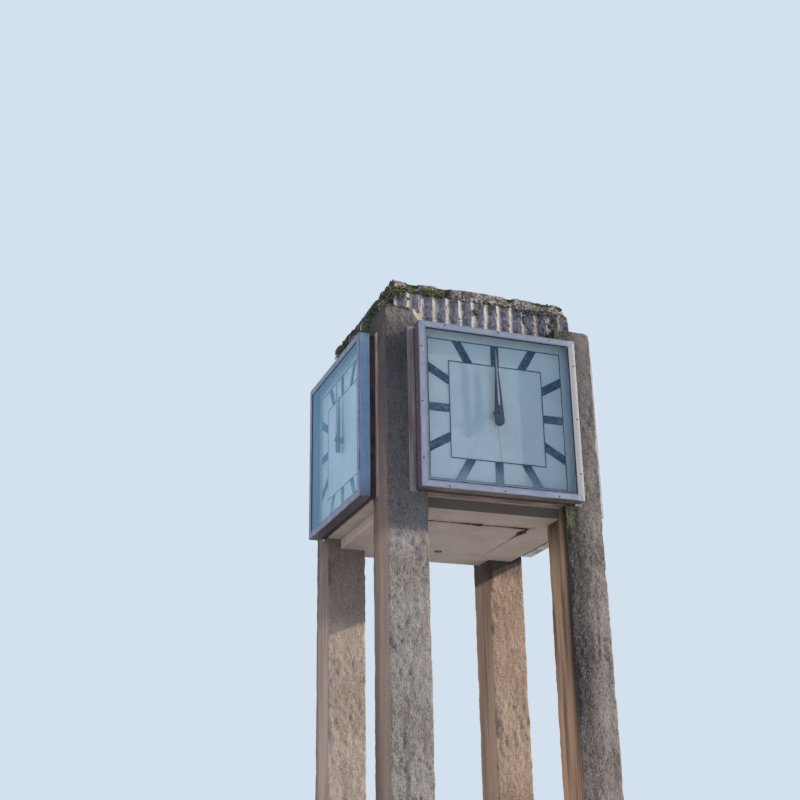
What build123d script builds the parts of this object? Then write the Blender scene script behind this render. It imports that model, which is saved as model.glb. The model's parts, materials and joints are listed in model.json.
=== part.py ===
from build123d import *
import math
import os

# A free-standing public clock tower of reinforced concrete, in millimetres.
# Four square piers carry a hollow clock chamber with a fluted attic and a cap
# slab. A shallow glazed clock casing stands proud of each side. The origin is
# on the ground at the centre of the tower, +Z is up and the front faces -Y.

# Plan of the concrete
tower_width = 1930.0
pier_side = 350.0
pier_arris_chamfer = 8.0
wall_thickness = 150.0

# Levels above the ground
casing_bottom = 4570.0
pier_top_above_casing_bottom = 1625.0
attic_wall_foot_above_casing_bottom = 1300.0
flute_top_above_casing_bottom = 1826.0
cap_thickness = 114.0

# Attic and its flutes
attic_setback = 117.0
flutes_per_side = 14
flute_depth = 15.0
arris_width = 8.0

# Cap slab
cap_setback = 12.0
cap_batter = 10.0
cap_fall = 6.0
cap_peak_side = 40.0

# Soffit
soffit_thickness = 90.0
spandrel_height = 180.0
hatch_side = 986.0
hatch_thickness = 20.0
hatch_gap = 3.0
hatch_angle_leg = 40.0
hatch_angle_thickness = 5.0
board_seam = 2.0
edge_strip_thickness = 20.0
lock_diameter = 72.0
lock_drop = 6.0
lock_from_hatch_edge = 45.0
lock_from_middle = 35.0

# Clock casing
casing_width = 1450.0
casing_sheet = 4.0
casing_projection = 155.0
casing_back_gap = 57.0
bezel_width = 60.0
bezel_thickness = 8.0
mitre_gap = 1.5
glass_thickness = 6.0
glass_edge_clearance = 2.0
dial_thickness = 4.0
dial_from_casing_back = 2.0
joint_gap = 0.3
strap_width = 66.0
strap_thickness = 6.0
stand_off_inset = 12.0
stand_off_thickness = 6.0
corner_gap = 1.0

# Dial markings
outer_square_half = 620.0
inner_square_half = 432.0
square_line_width = 8.0
hour_bar_width = 72.0
marker_thickness = 2.0
hours_on_dial = 12

# Spindle and hands
boss_radius = 32.0
boss_length = 10.0
collar_radius = 18.0
hour_bearing_radius = 13.0
minute_bearing_radius = 8.0
running_clearance = 0.05
hub_thickness = 10.0
hour_hub_radius = 24.0
minute_hub_radius = 20.0
hour_hub_behind_bezel = 60.0
hub_spacing = 10.0
blade_thickness = 3.0
nut_radius = 16.0
nut_thickness = 9.0
hand_tail = 121.0
tail_half_width = 40.0
minute_hand_length = 571.0
minute_tip_half_width = 8.0
hour_hand_length = 412.0
hour_tip_half_width = 16.0
rib_width = 8.0
rib_height = 4.0
rib_end_from_pivot = 60.0
minute_hand_rest_deg = -1.5

# Sizes worked out from the ones above
pier_face = tower_width / 2
pier_inner = pier_face - pier_side
pier_top = casing_bottom + pier_top_above_casing_bottom
attic_foot = casing_bottom + attic_wall_foot_above_casing_bottom
flute_top = casing_bottom + flute_top_above_casing_bottom
tower_top = flute_top + cap_thickness
attic_face = pier_face - attic_setback
wall_inner = attic_face - wall_thickness
flute_pitch = 2 * attic_face / flutes_per_side
bezel_face = pier_face + casing_projection
casing_front = bezel_face - bezel_thickness
casing_back = pier_face + casing_back_gap
glass_front = casing_front - joint_gap
glass_back = glass_front - glass_thickness
dial_back = casing_back + dial_from_casing_back
dial_front = dial_back + dial_thickness
casing_half = casing_width / 2
dial_centre = casing_bottom + casing_half
casing_inner_half = casing_half - casing_sheet
soffit_level = casing_bottom - soffit_thickness
hour_hub_back = bezel_face - hour_hub_behind_bezel
hour_hub_front = hour_hub_back + hub_thickness
minute_hub_back = hour_hub_front + hub_spacing
minute_hub_front = minute_hub_back + hub_thickness

SIDES = {"front": 0, "right": 90, "rear": 180, "left": 270}


def block(x_low, x_high, y_low, y_high, z_low, z_high):
    """A plain rectangular solid between two corners."""
    size = (x_high - x_low, y_high - y_low, z_high - z_low)
    centre = ((x_low + x_high) / 2, (y_low + y_high) / 2, (z_low + z_high) / 2)
    return Pos(*centre) * Box(*size)


def slab(points, z_low, z_high):
    """A flat plan outline raised from one level to another."""
    outline = make_face(Polyline(*points, close=True))
    return Pos(0, 0, z_low) * extrude(outline, z_high - z_low)


def upright(points, out_low, out_high):
    """An outline drawn on the front elevation, x across and z up, between two distances out."""
    corners = [(x, -out_low, z) for x, z in points]
    outline = make_face(Polyline(*corners, close=True))
    return extrude(outline, out_high - out_low, dir=(0, -1, 0))


def turned(shape, side):
    """The same piece on another side of the tower."""
    return Rot(0, 0, SIDES[side]) * shape


def ring_of_bars(outer_half, inner_half, out_low, out_high, gap):
    """Four mitred bars round a square opening on the front elevation, a small gap at each mitre."""
    bar = [
        (-outer_half + gap, outer_half),
        (outer_half - gap, outer_half),
        (inner_half - gap, inner_half),
        (-inner_half + gap, inner_half),
    ]
    top = upright(bar, out_low, out_high)
    return [
        Pos(0, 0, dial_centre) * (Rot(0, quarter * 90, 0) * top)
        for quarter in range(4)
    ]


def rod(radius, out_low, out_high):
    """A round bar along the dial's axis, between two distances out from the tower's centre."""
    centre = (0, -(out_low + out_high) / 2, dial_centre)
    return Pos(*centre) * (Rot(90, 0, 0) * Cylinder(radius, out_high - out_low))


def pier(x_sign, y_sign):
    """One pier, plain from the ground to its flat top beside the attic, its upright arrises worn off."""
    middle = pier_face - pier_side / 2
    shaft = Box(pier_side, pier_side, pier_top)
    shaft = chamfer(shaft.edges().filter_by(Axis.Z), pier_arris_chamfer)
    return Pos(x_sign * middle, y_sign * middle, pier_top / 2) * shaft


def attic_wall():
    """The front attic wall: it bears on the two pier tops, hangs between the piers and is fluted.

    Each flute is a concave segment cut by an upright cylinder, with a narrow flat arris between.
    """
    upper = slab(
        [
            (-attic_face, -attic_face),
            (attic_face, -attic_face),
            (wall_inner, -wall_inner),
            (-wall_inner, -wall_inner),
        ],
        pier_top,
        flute_top,
    )
    lower = block(-pier_inner, pier_inner, -attic_face, -wall_inner, attic_foot, pier_top)
    wall = upper + lower
    half_chord = (flute_pitch - arris_width) / 2
    radius = (half_chord**2 + flute_depth**2) / (2 * flute_depth)
    height = flute_top - attic_foot
    cutter = Cylinder(radius, height)
    for index in range(flutes_per_side):
        x = -attic_face + (index + 0.5) * flute_pitch
        y = -attic_face - (radius - flute_depth)
        wall -= Pos(x, y, attic_foot + height / 2) * cutter
    return wall


def cap():
    """The cap slab, battered on its edges, with a low hipped fall to every side."""
    low_half = attic_face - cap_setback
    high_half = low_half - cap_batter
    edge_top = tower_top - cap_fall
    edge = loft(
        [
            Pos(0, 0, flute_top) * Rectangle(2 * low_half, 2 * low_half),
            Pos(0, 0, edge_top) * Rectangle(2 * high_half, 2 * high_half),
        ]
    )
    fall = loft(
        [
            Pos(0, 0, edge_top) * Rectangle(2 * high_half, 2 * high_half),
            Pos(0, 0, tower_top) * Rectangle(cap_peak_side, cap_peak_side),
        ]
    )
    return edge + fall


def spandrel():
    """The beam between two piers that carries the soffit and closes the chamber's foot."""
    top = casing_bottom + spandrel_height
    return block(-pier_inner, pier_inner, -attic_face, -wall_inner, casing_bottom, top)


def soffit_board():
    """A quarter of the painted soffit, mitred from the hatch's corners to the piers."""
    hatch_half = hatch_side / 2 + hatch_gap
    seam = board_seam / 2
    return slab(
        [
            (-pier_inner, -attic_face),
            (pier_inner, -attic_face),
            (pier_inner, -pier_inner - seam),
            (hatch_half - seam, -hatch_half),
            (-hatch_half + seam, -hatch_half),
            (-pier_inner, -pier_inner - seam),
        ],
        soffit_level,
        casing_bottom,
    )


def edge_strip():
    """The painted strip that closes the gap between the spandrel and the casing."""
    top = casing_bottom + edge_strip_thickness
    return block(-pier_inner, pier_inner, -pier_face, -attic_face, casing_bottom, top)


def hatch():
    """The square access panel in the middle of the soffit."""
    return Pos(0, 0, soffit_level + hatch_thickness / 2) * Box(hatch_side, hatch_side, hatch_thickness)


def hatch_rail():
    """One side of the steel frame that the hatch closes against, above it in the soffit."""
    outer = hatch_side / 2 + hatch_gap
    inner = outer - hatch_angle_leg
    low = soffit_level + hatch_thickness
    return slab(
        [
            (-outer + corner_gap, -outer),
            (outer - corner_gap, -outer),
            (inner - corner_gap, -inner),
            (-inner + corner_gap, -inner),
        ],
        low,
        low + hatch_angle_thickness,
    )


def hatch_lock():
    """The round lock plate near the hatch's rear edge, a shallow turned disc a little off the middle."""
    radius = lock_diameter / 2
    y = hatch_side / 2 - lock_from_hatch_edge
    disc = Cylinder(radius, lock_drop)
    disc = chamfer(disc.faces().sort_by(Axis.Z)[0].edges(), lock_drop / 3)
    return Pos(lock_from_middle, y, soffit_level - lock_drop / 2) * disc


def casing():
    """The casing's sheet-metal sides: four plates round the dial, open at the back."""
    return ring_of_bars(casing_half, casing_inner_half, casing_back, casing_front, corner_gap)


def bezel():
    """The flat glazing bars on the casing's front edge, mitred at the corners."""
    return ring_of_bars(casing_half, casing_half - bezel_width, casing_front, bezel_face, mitre_gap)


def glass():
    """The clear pane behind the bezel."""
    half = casing_inner_half - glass_edge_clearance
    return block(-half, half, -glass_front, -glass_back, dial_centre - half, dial_centre + half)


def dial():
    """The opal dial plate at the back of the casing, bored for the spindle."""
    half = casing_inner_half - joint_gap
    plate = block(-half, half, -dial_front, -dial_back, dial_centre - half, dial_centre + half)
    hole_radius = hour_bearing_radius + joint_gap
    return plate - rod(hole_radius, dial_back - dial_thickness, dial_front + dial_thickness)


def markers():
    """Twelve hour bars that run from the inner square line to the outer one, in one sheet."""
    line = square_line_width
    sheet = None
    for half in (outer_square_half, inner_square_half):
        square = Rectangle(2 * half, 2 * half) - Rectangle(2 * (half - line), 2 * (half - line))
        sheet = square if sheet is None else sheet + square
    band = Rectangle(2 * outer_square_half, 2 * outer_square_half)
    band -= Rectangle(2 * inner_square_half, 2 * inner_square_half)
    reach = 2 * outer_square_half
    for hour in range(hours_on_dial):
        bar = Pos(0, reach / 2) * Rectangle(hour_bar_width, reach)
        sheet += (Rot(0, 0, hour * 360 / hours_on_dial) * bar) & band
    solid = extrude(sheet, marker_thickness)
    return Pos(0, -dial_front, dial_centre) * (Rot(90, 0, 0) * solid)


def strap(x_sign):
    """One upright steel strap on the face of a pier, under the casing's side."""
    inner = casing_half - stand_off_inset - stand_off_thickness
    x_low, x_high = sorted((x_sign * inner, x_sign * (inner + strap_width)))
    low = casing_bottom
    high = casing_bottom + casing_width
    return block(x_low, x_high, -pier_face - strap_thickness, -pier_face, low, high)


def stand_off():
    """The steel bars set in behind the casing that hold it clear of the piers."""
    outer = casing_half - stand_off_inset
    inner = outer - stand_off_thickness
    return ring_of_bars(outer, inner, pier_face + strap_thickness, dial_back, corner_gap)


def spindle():
    """The fixed stepped spindle on the dial that carries both hands.

    From the dial outwards: a boss, a neck, the hour hand's bearing, a collar,
    the minute hand's bearing and the end nut.
    """
    boss_front = dial_front + boss_length
    nut_low = minute_hub_front + joint_gap
    post = rod(hour_bearing_radius, dial_back, hour_hub_front + joint_gap)
    post += rod(boss_radius, dial_front, boss_front)
    post += rod(collar_radius, boss_front, hour_hub_back - joint_gap)
    post += rod(collar_radius, hour_hub_front + joint_gap, minute_hub_back - joint_gap)
    post += rod(minute_bearing_radius, hour_hub_front, nut_low)
    post += rod(nut_radius, nut_low, nut_low + nut_thickness)
    return post


def hand(length, tip_half_width, hub_radius, bore_radius, out_low):
    """A tapered paddle blade with a round tail, on a bored hub."""
    tail_centre = dial_centre - hand_tail + tail_half_width
    tip = dial_centre + length
    flank = (tail_half_width - tip_half_width) / (tip - tail_centre)
    lean = math.asin(flank)
    shoulder_x = tail_half_width * math.cos(lean)
    shoulder_z = tail_centre + tail_half_width * math.sin(lean)
    blade = upright(
        [
            (-shoulder_x, shoulder_z),
            (-tip_half_width, tip),
            (tip_half_width, tip),
            (shoulder_x, shoulder_z),
        ],
        out_low,
        out_low + blade_thickness,
    )
    tail = Pos(0, 0, tail_centre - dial_centre) * rod(tail_half_width, out_low, out_low + blade_thickness)
    hub = rod(hub_radius, out_low, out_low + hub_thickness)
    bore = rod(bore_radius + running_clearance, out_low - 1, out_low + hub_thickness + 1)
    return blade + tail + hub - bore


def hour_hand():
    """The shorter hand, next to the dial."""
    return hand(hour_hand_length, hour_tip_half_width, hour_hub_radius, hour_bearing_radius, hour_hub_back)


def minute_hand():
    """The longer hand, in front, with a raised rib along its blade."""
    blade = hand(
        minute_hand_length,
        minute_tip_half_width,
        minute_hub_radius,
        minute_bearing_radius,
        minute_hub_back,
    )
    front = minute_hub_back + blade_thickness
    rib = block(
        -rib_width / 2,
        rib_width / 2,
        -front - rib_height,
        -front,
        dial_centre + rib_end_from_pivot,
        dial_centre + minute_hand_length - rib_width,
    )
    whole = blade + rib
    at_axis = Pos(0, 0, -dial_centre) * whole
    return Pos(0, 0, dial_centre) * (Rot(0, minute_hand_rest_deg, 0) * at_axis)


def save(name, pieces):
    """Write one node. Like pieces that share it are separate solids."""
    solids = []
    for piece in pieces:
        solids.extend(piece.solids())
    shape = solids[0] if len(solids) == 1 else Compound(children=solids)
    export_step(shape, f"parts/{name}.step")
    print(name, len(solids))


os.makedirs("parts", exist_ok=True)

for end, y_sign in (("front", -1), ("rear", 1)):
    for hand_side, x_sign in (("left", -1), ("right", 1)):
        save(f"pier_{end}_{hand_side}", [pier(x_sign, y_sign)])

save("cap_slab", [cap()])
save("spandrel_beams", [turned(spandrel(), side) for side in SIDES])
save("soffit_boards", [turned(soffit_board(), side) for side in SIDES])
save("soffit_edge_strips", [turned(edge_strip(), side) for side in SIDES])
save("access_hatch", [hatch()])
save("hatch_frame", [turned(hatch_rail(), side) for side in SIDES])
save("hatch_lock_plate", [hatch_lock()])
save("casing_straps", [turned(strap(sign), side) for side in SIDES for sign in (-1, 1)])
save("stand_off_bars", [turned(bar, side) for side in SIDES for bar in stand_off()])
save("hand_spindles", [turned(spindle(), side) for side in SIDES])
marker_shape = markers()
save("dial_markers", [turned(marker_shape, side) for side in SIDES])

wall_shape = attic_wall()
hour_shape = hour_hand()
minute_shape = minute_hand()
for side in SIDES:
    save(f"attic_wall_{side}", [turned(wall_shape, side)])
    save(f"casing_{side}", [turned(plate, side) for plate in casing()])
    save(f"bezel_{side}", [turned(bar, side) for bar in bezel()])
    save(f"glass_{side}", [turned(glass(), side)])
    save(f"dial_{side}", [turned(dial(), side)])
    save(f"hour_hand_{side}", [turned(hour_shape, side)])
    save(f"minute_hand_{side}", [turned(minute_shape, side)])
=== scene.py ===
# %% [markdown]
# # A concrete clock tower, surface by surface
#
# The engineering model of this tower arrives as a fixed frame: piers, attic, casings, dials
# and hands, all at their real size in metres. This notebook dresses it. Concrete gets its
# weather-worn relief, the steel its rust, the glass its shine, and nothing changes place.
# Every new surface is an array of points worked out with numpy and handed to Blender in one go.

# %% Load the frame
import json
import math

import bmesh
import bpy
import numpy as np
from mathutils import Matrix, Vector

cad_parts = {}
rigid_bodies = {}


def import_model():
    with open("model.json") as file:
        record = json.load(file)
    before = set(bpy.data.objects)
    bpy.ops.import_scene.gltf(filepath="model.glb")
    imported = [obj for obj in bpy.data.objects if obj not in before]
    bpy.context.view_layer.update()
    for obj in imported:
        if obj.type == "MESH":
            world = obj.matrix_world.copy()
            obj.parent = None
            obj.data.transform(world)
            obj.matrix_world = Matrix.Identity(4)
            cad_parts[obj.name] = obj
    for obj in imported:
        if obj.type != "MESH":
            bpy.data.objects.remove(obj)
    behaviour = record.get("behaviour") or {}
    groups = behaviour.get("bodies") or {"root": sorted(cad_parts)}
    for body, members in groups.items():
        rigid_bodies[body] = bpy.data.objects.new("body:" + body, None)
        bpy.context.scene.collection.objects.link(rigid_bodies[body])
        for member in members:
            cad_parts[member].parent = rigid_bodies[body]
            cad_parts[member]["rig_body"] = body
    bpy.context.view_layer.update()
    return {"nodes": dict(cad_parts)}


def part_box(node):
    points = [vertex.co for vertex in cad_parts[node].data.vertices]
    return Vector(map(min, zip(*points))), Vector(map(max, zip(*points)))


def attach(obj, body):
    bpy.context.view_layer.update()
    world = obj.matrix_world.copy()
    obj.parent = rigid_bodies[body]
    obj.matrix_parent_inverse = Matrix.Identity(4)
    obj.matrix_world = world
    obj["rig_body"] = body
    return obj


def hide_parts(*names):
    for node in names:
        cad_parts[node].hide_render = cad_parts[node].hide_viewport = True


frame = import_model()
nodes = frame["nodes"]
SIDES = {"front": 0, "right": 90, "rear": 180, "left": 270}

# %% [markdown]
# ## Sizes read from the frame
#
# A dressed surface has to sit exactly where its solid is, so the driving sizes are measured
# on the solids instead of being typed in again. All sides of the tower are alike: a shape is
# worked out once for the front, which faces -Y, and turned about the vertical axis.

# %% Driving sizes
ATTIC_LOW, ATTIC_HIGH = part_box("attic_wall_front")
PIER_LOW, PIER_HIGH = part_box("pier_front_left")
CAP_LOW, CAP_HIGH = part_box("cap_slab")
CASING_LOW, CASING_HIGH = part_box("casing_front")
HATCH_LOW, HATCH_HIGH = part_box("access_hatch")

pier_face = -PIER_LOW.y
pier_inner = -PIER_HIGH.x
pier_top = PIER_HIGH.z
attic_face = -ATTIC_LOW.y
attic_back = -ATTIC_HIGH.y
casing_half = CASING_HIGH.x
casing_top = CASING_HIGH.z
dial_centre = (CASING_LOW.z + CASING_HIGH.z) / 2
bezel_face = -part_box("bezel_front")[0].y
glass_face = -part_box("glass_front")[0].y
# the bars of the bezel are 60 mm broad, and the joint round the hatch is 3 mm wide
bar_inner = casing_half - 0.060
hatch_joint = HATCH_HIGH.x + 0.0015
print("pier", pier_inner, "to", pier_face, "dial centre", round(dial_centre, 4))


def turned(points, side):
    """Points of the front side turned to another side: a rotation about Z by whole quarter turns."""
    angle = math.radians(SIDES[side])
    c, s = round(math.cos(angle)), round(math.sin(angle))
    return points @ np.array([[c, s, 0], [-s, c, 0], [0, 0, 1]], float)


# %% [markdown]
# ## Arrays into meshes
#
# Blender can take a whole surface in a few calls. Points go in as one array, and faces as a
# few arrays, one for each number of corners. A grid of rows and columns of points makes
# quads, and a hole at its end is closed by one more face or by a fan to a middle point.

# %% Mesh helpers


def grid_quads(rows, columns, wrap=False):
    """Corner numbers of every quad of a grid, in which point (r, c) is number r * columns + c.

    wrap joins the last column to the first.
    """
    r = np.arange(rows - 1)[:, None] * columns
    c = np.arange(columns if wrap else columns - 1)[None, :]
    n = (c + 1) % columns
    return np.stack([r + c, r + n, r + columns + n, r + columns + c], -1).reshape(-1, 4)


def fan(ring, hub):
    """Triangles from each edge of a ring of point numbers to one middle point."""
    return np.stack([ring, np.roll(ring, -1), np.full(len(ring), hub)], -1)


def repeated(faces, count, size):
    """The faces of one small shape, for count copies of it that have size points each."""
    shift = np.arange(count)[:, None, None] * size
    return [(f[None] + shift).reshape(-1, f.shape[-1]) for f in faces]


def piece(name, points, faces, material, body="tower", replaces=(), smooth=True, values=None):
    """One mesh object from an array of points and a list of face arrays, riding on a body of the frame.

    values go with the points as their "relief", which tells a material where hollows and crests are.
    """
    mesh = bpy.data.meshes.new(name)
    points = np.asarray(points, float).reshape(-1, 3)
    faces = [np.atleast_2d(np.asarray(f, np.int64)) for f in faces]
    corners = np.concatenate([f.ravel() for f in faces])
    counts = np.concatenate([np.full(len(f), f.shape[1]) for f in faces])
    mesh.vertices.add(len(points))
    mesh.vertices.foreach_set("co", points.ravel())
    mesh.loops.add(len(corners))
    mesh.loops.foreach_set("vertex_index", corners)
    mesh.polygons.add(len(counts))
    mesh.polygons.foreach_set("loop_start", np.cumsum(counts) - counts)
    mesh.update(calc_edges=True)
    mesh.polygons.foreach_set("use_smooth", np.full(len(counts), smooth))
    if values is not None:
        relief = mesh.attributes.new("relief", "FLOAT", "POINT")
        relief.data.foreach_set("value", np.asarray(values, np.float32).ravel())
    mesh.materials.append(material)
    made = bpy.data.objects.new(name, mesh)
    bpy.context.scene.collection.objects.link(made)
    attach(made, body)
    if replaces:
        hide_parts(*replaces)
    print(name, len(points), "points", int((counts - 2).sum()), "triangles")
    return made


# %% [markdown]
# ## Noise for worn surfaces
#
# Old concrete is never flat: broad waves from the shuttering, lumps where the skin has
# gone, pits where stones fell out. Three-dimensional value noise gives all of these, each
# at its own size in metres. It is worked out from the place itself, so that it is the same
# on every run and meets at the corners.

# %% Noise helpers


def lattice(ix, iy, iz, seed):
    """A repeatable number from 0 to 1 for each whole-number place, by mixing its bits."""
    h = (ix * 374761393 + iy * 668265263 + iz * 1440662683 + seed * 1274126177) & 0xFFFFFFFF
    h = ((h ^ (h >> 13)) * 1103515245) & 0xFFFFFFFF
    return ((h ^ (h >> 16)) & 0xFFFFFF) / 0xFFFFFF


def noise(points, cell, seed):
    """Smooth noise from -1 to 1: lattice numbers blended by the smoothstep of the place within a cell."""
    q = points / np.asarray(cell, float)
    base = np.floor(q).astype(np.int64)
    t = q - base
    t = t * t * (3 - 2 * t)
    total = np.zeros(points.shape[:-1])
    for dx in (0, 1):
        for dy in (0, 1):
            for dz in (0, 1):
                weight = np.abs(1 - dx - t[..., 0]) * np.abs(1 - dy - t[..., 1]) * np.abs(1 - dz - t[..., 2])
                total += weight * lattice(base[..., 0] + dx, base[..., 1] + dy, base[..., 2] + dz, seed)
    return 2 * total - 1


def pits(points, cell, seed):
    """Distance to the nearest of one random point in each cell, in cells: small in the middle of a pit."""
    q = points / cell
    base = np.floor(q).astype(np.int64)
    nearest = np.full(points.shape[:-1], 9.0)
    for dx in (-1, 0, 1):
        for dy in (-1, 0, 1):
            for dz in (-1, 0, 1):
                i, j, k = base[..., 0] + dx, base[..., 1] + dy, base[..., 2] + dz
                away = [
                    i + lattice(i, j, k, seed) - q[..., 0],
                    j + lattice(i, j, k, seed + 1) - q[..., 1],
                    k + lattice(i, j, k, seed + 2) - q[..., 2],
                ]
                nearest = np.minimum(nearest, sum(a * a for a in away))
    return np.sqrt(nearest)


def ease(value, low, high):
    """0 below low, 1 above high, and the smoothstep between."""
    t = np.clip((value - low) / (high - low), 0, 1)
    return t * t * (3 - 2 * t)


# a depth of this many metres is a relief of 1 to the concrete's material
RELIEF_UNIT = 0.007


def rough(points, seed=1):
    """Relief of weathered concrete in metres, negative inwards.

    A slow wave, three sizes of lumps and round pits are added up, and patches of it are
    rougher than others. It is held below 4 mm outwards, so that it stays under the straps.
    """
    wave = noise(points, 0.45, seed)
    patch = 0.85 + 0.4 * noise(points, 0.28, seed + 5)
    lumps = (
        0.0018 * noise(points, 0.075, seed + 10)
        + 0.0030 * noise(points, (0.032, 0.032, 0.046), seed + 20)
        + 0.0034 * noise(points, (0.020, 0.020, 0.030), seed + 25)
    )
    pit = ease(pits(points, 0.070, seed + 30), 0.40, 0.12)
    return np.minimum(0.0008 + 0.0018 * wave + patch * (lumps - 0.0014 * pit), 0.004)


# %% [markdown]
# ## Colours and nodes
#
# Colours are written as the hex values a paint maker would give, and one function turns
# them to the linear values that shaders use. One other function adds a node, sets its
# sockets and joins its links. Weathering is a matter of thin coats: each has a colour and
# the places where it lies, such as near the ground, in the hollows or where noise is high.

# %% Material helpers


def srgb(code):
    """A linear colour with full alpha from a hex code, by the sRGB curve."""
    parts = [int(code[i : i + 2], 16) / 255 for i in (0, 2, 4)]
    return tuple(p / 12.92 if p <= 0.04045 else ((p + 0.055) / 1.055) ** 2.4 for p in parts) + (1.0,)


def add(tree, kind, values=None, links=None, **settings):
    """Adds one shader node. values sets its sockets, links joins them to other nodes' outputs."""
    made = tree.nodes.new("ShaderNode" + kind)
    for key, value in settings.items():
        setattr(made, key, value)
    for key, value in (values or {}).items():
        made.inputs[key].default_value = value
    for key, source in (links or {}).items():
        tree.links.new(source, made.inputs[key])
    return made


def per_mm(*sizes):
    """The scale of a pattern from the width of its features in mm, as places are in metres: cells in a metre.

    Three sizes give the scales along X, Y and Z.
    """
    scales = tuple(1000.0 / size for size in sizes)
    return scales if len(scales) > 1 else scales[0]


def blank(name):
    """A new material: its tree, the place on the object in metres, its X, Y and Z and the normal's."""
    material = bpy.data.materials.new(name)
    material.use_nodes = True
    tree = material.node_tree
    tree.nodes.clear()
    place = add(tree, "TexCoord").outputs["Object"]
    at = add(tree, "SeparateXYZ", None, {0: place}).outputs
    facing = add(tree, "SeparateXYZ", None, {0: add(tree, "NewGeometry").outputs["Normal"]}).outputs
    return material, tree, place, at, facing


def coat(tree, under, over, *ramps, share=1.0):
    """One colour laid over another: each is a hex code or a node's output.

    A ramp is (source, start, end) and rises from 0 where its source is at start to 1 at end.
    The coat covers the product of all its ramps, times share.
    """
    cover = None
    for source, start, end in ramps:
        ramp = add(tree, "MapRange", {"From Min": start, "From Max": end, "To Max": share}, {"Value": source})
        share = 1.0
        if cover:
            ramp = add(tree, "Math", None, {0: cover, 1: ramp.outputs[0]}, operation="MULTIPLY")
        cover = ramp.outputs[0]
    laid = add(tree, "Mix", None, {"Factor": cover}, data_type="RGBA")
    for name, colour in (("A", under), ("B", over)):
        socket = next(s for s in laid.inputs if s.name == name and s.type == "RGBA")
        if isinstance(colour, str):
            socket.default_value = srgb(colour)
        else:
            tree.links.new(colour, socket)
    return next(s for s in laid.outputs if s.type == "RGBA")


# %% [markdown]
# ## Weathered cast concrete
#
# Concrete whose cement skin has worn away shows tan sand and grey stones of about 10 mm,
# drawn out upright by the rain. Soot lies high up, where the casings keep the rain off, and the
# same dark coat is a painted shade where the casings and the head cast their shadows on the
# piers. The pits keep the dirt, dirt and painted shade lie in the flutes and on their flanks
# turned from the key light, and green algae grows where it stays damp. The sides that face away
# from the weather keep the smoother skin of the shuttering, with browner, plainer streaks, on a
# colour partly lightened as a painted bounce light; the sides towards +X are greyed as painted shade.

# %% Concrete


# soot and painted shade set in over this height, and deepen more slowly above
SOOT_AND_SHADE_ONSET = 0.12


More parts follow.
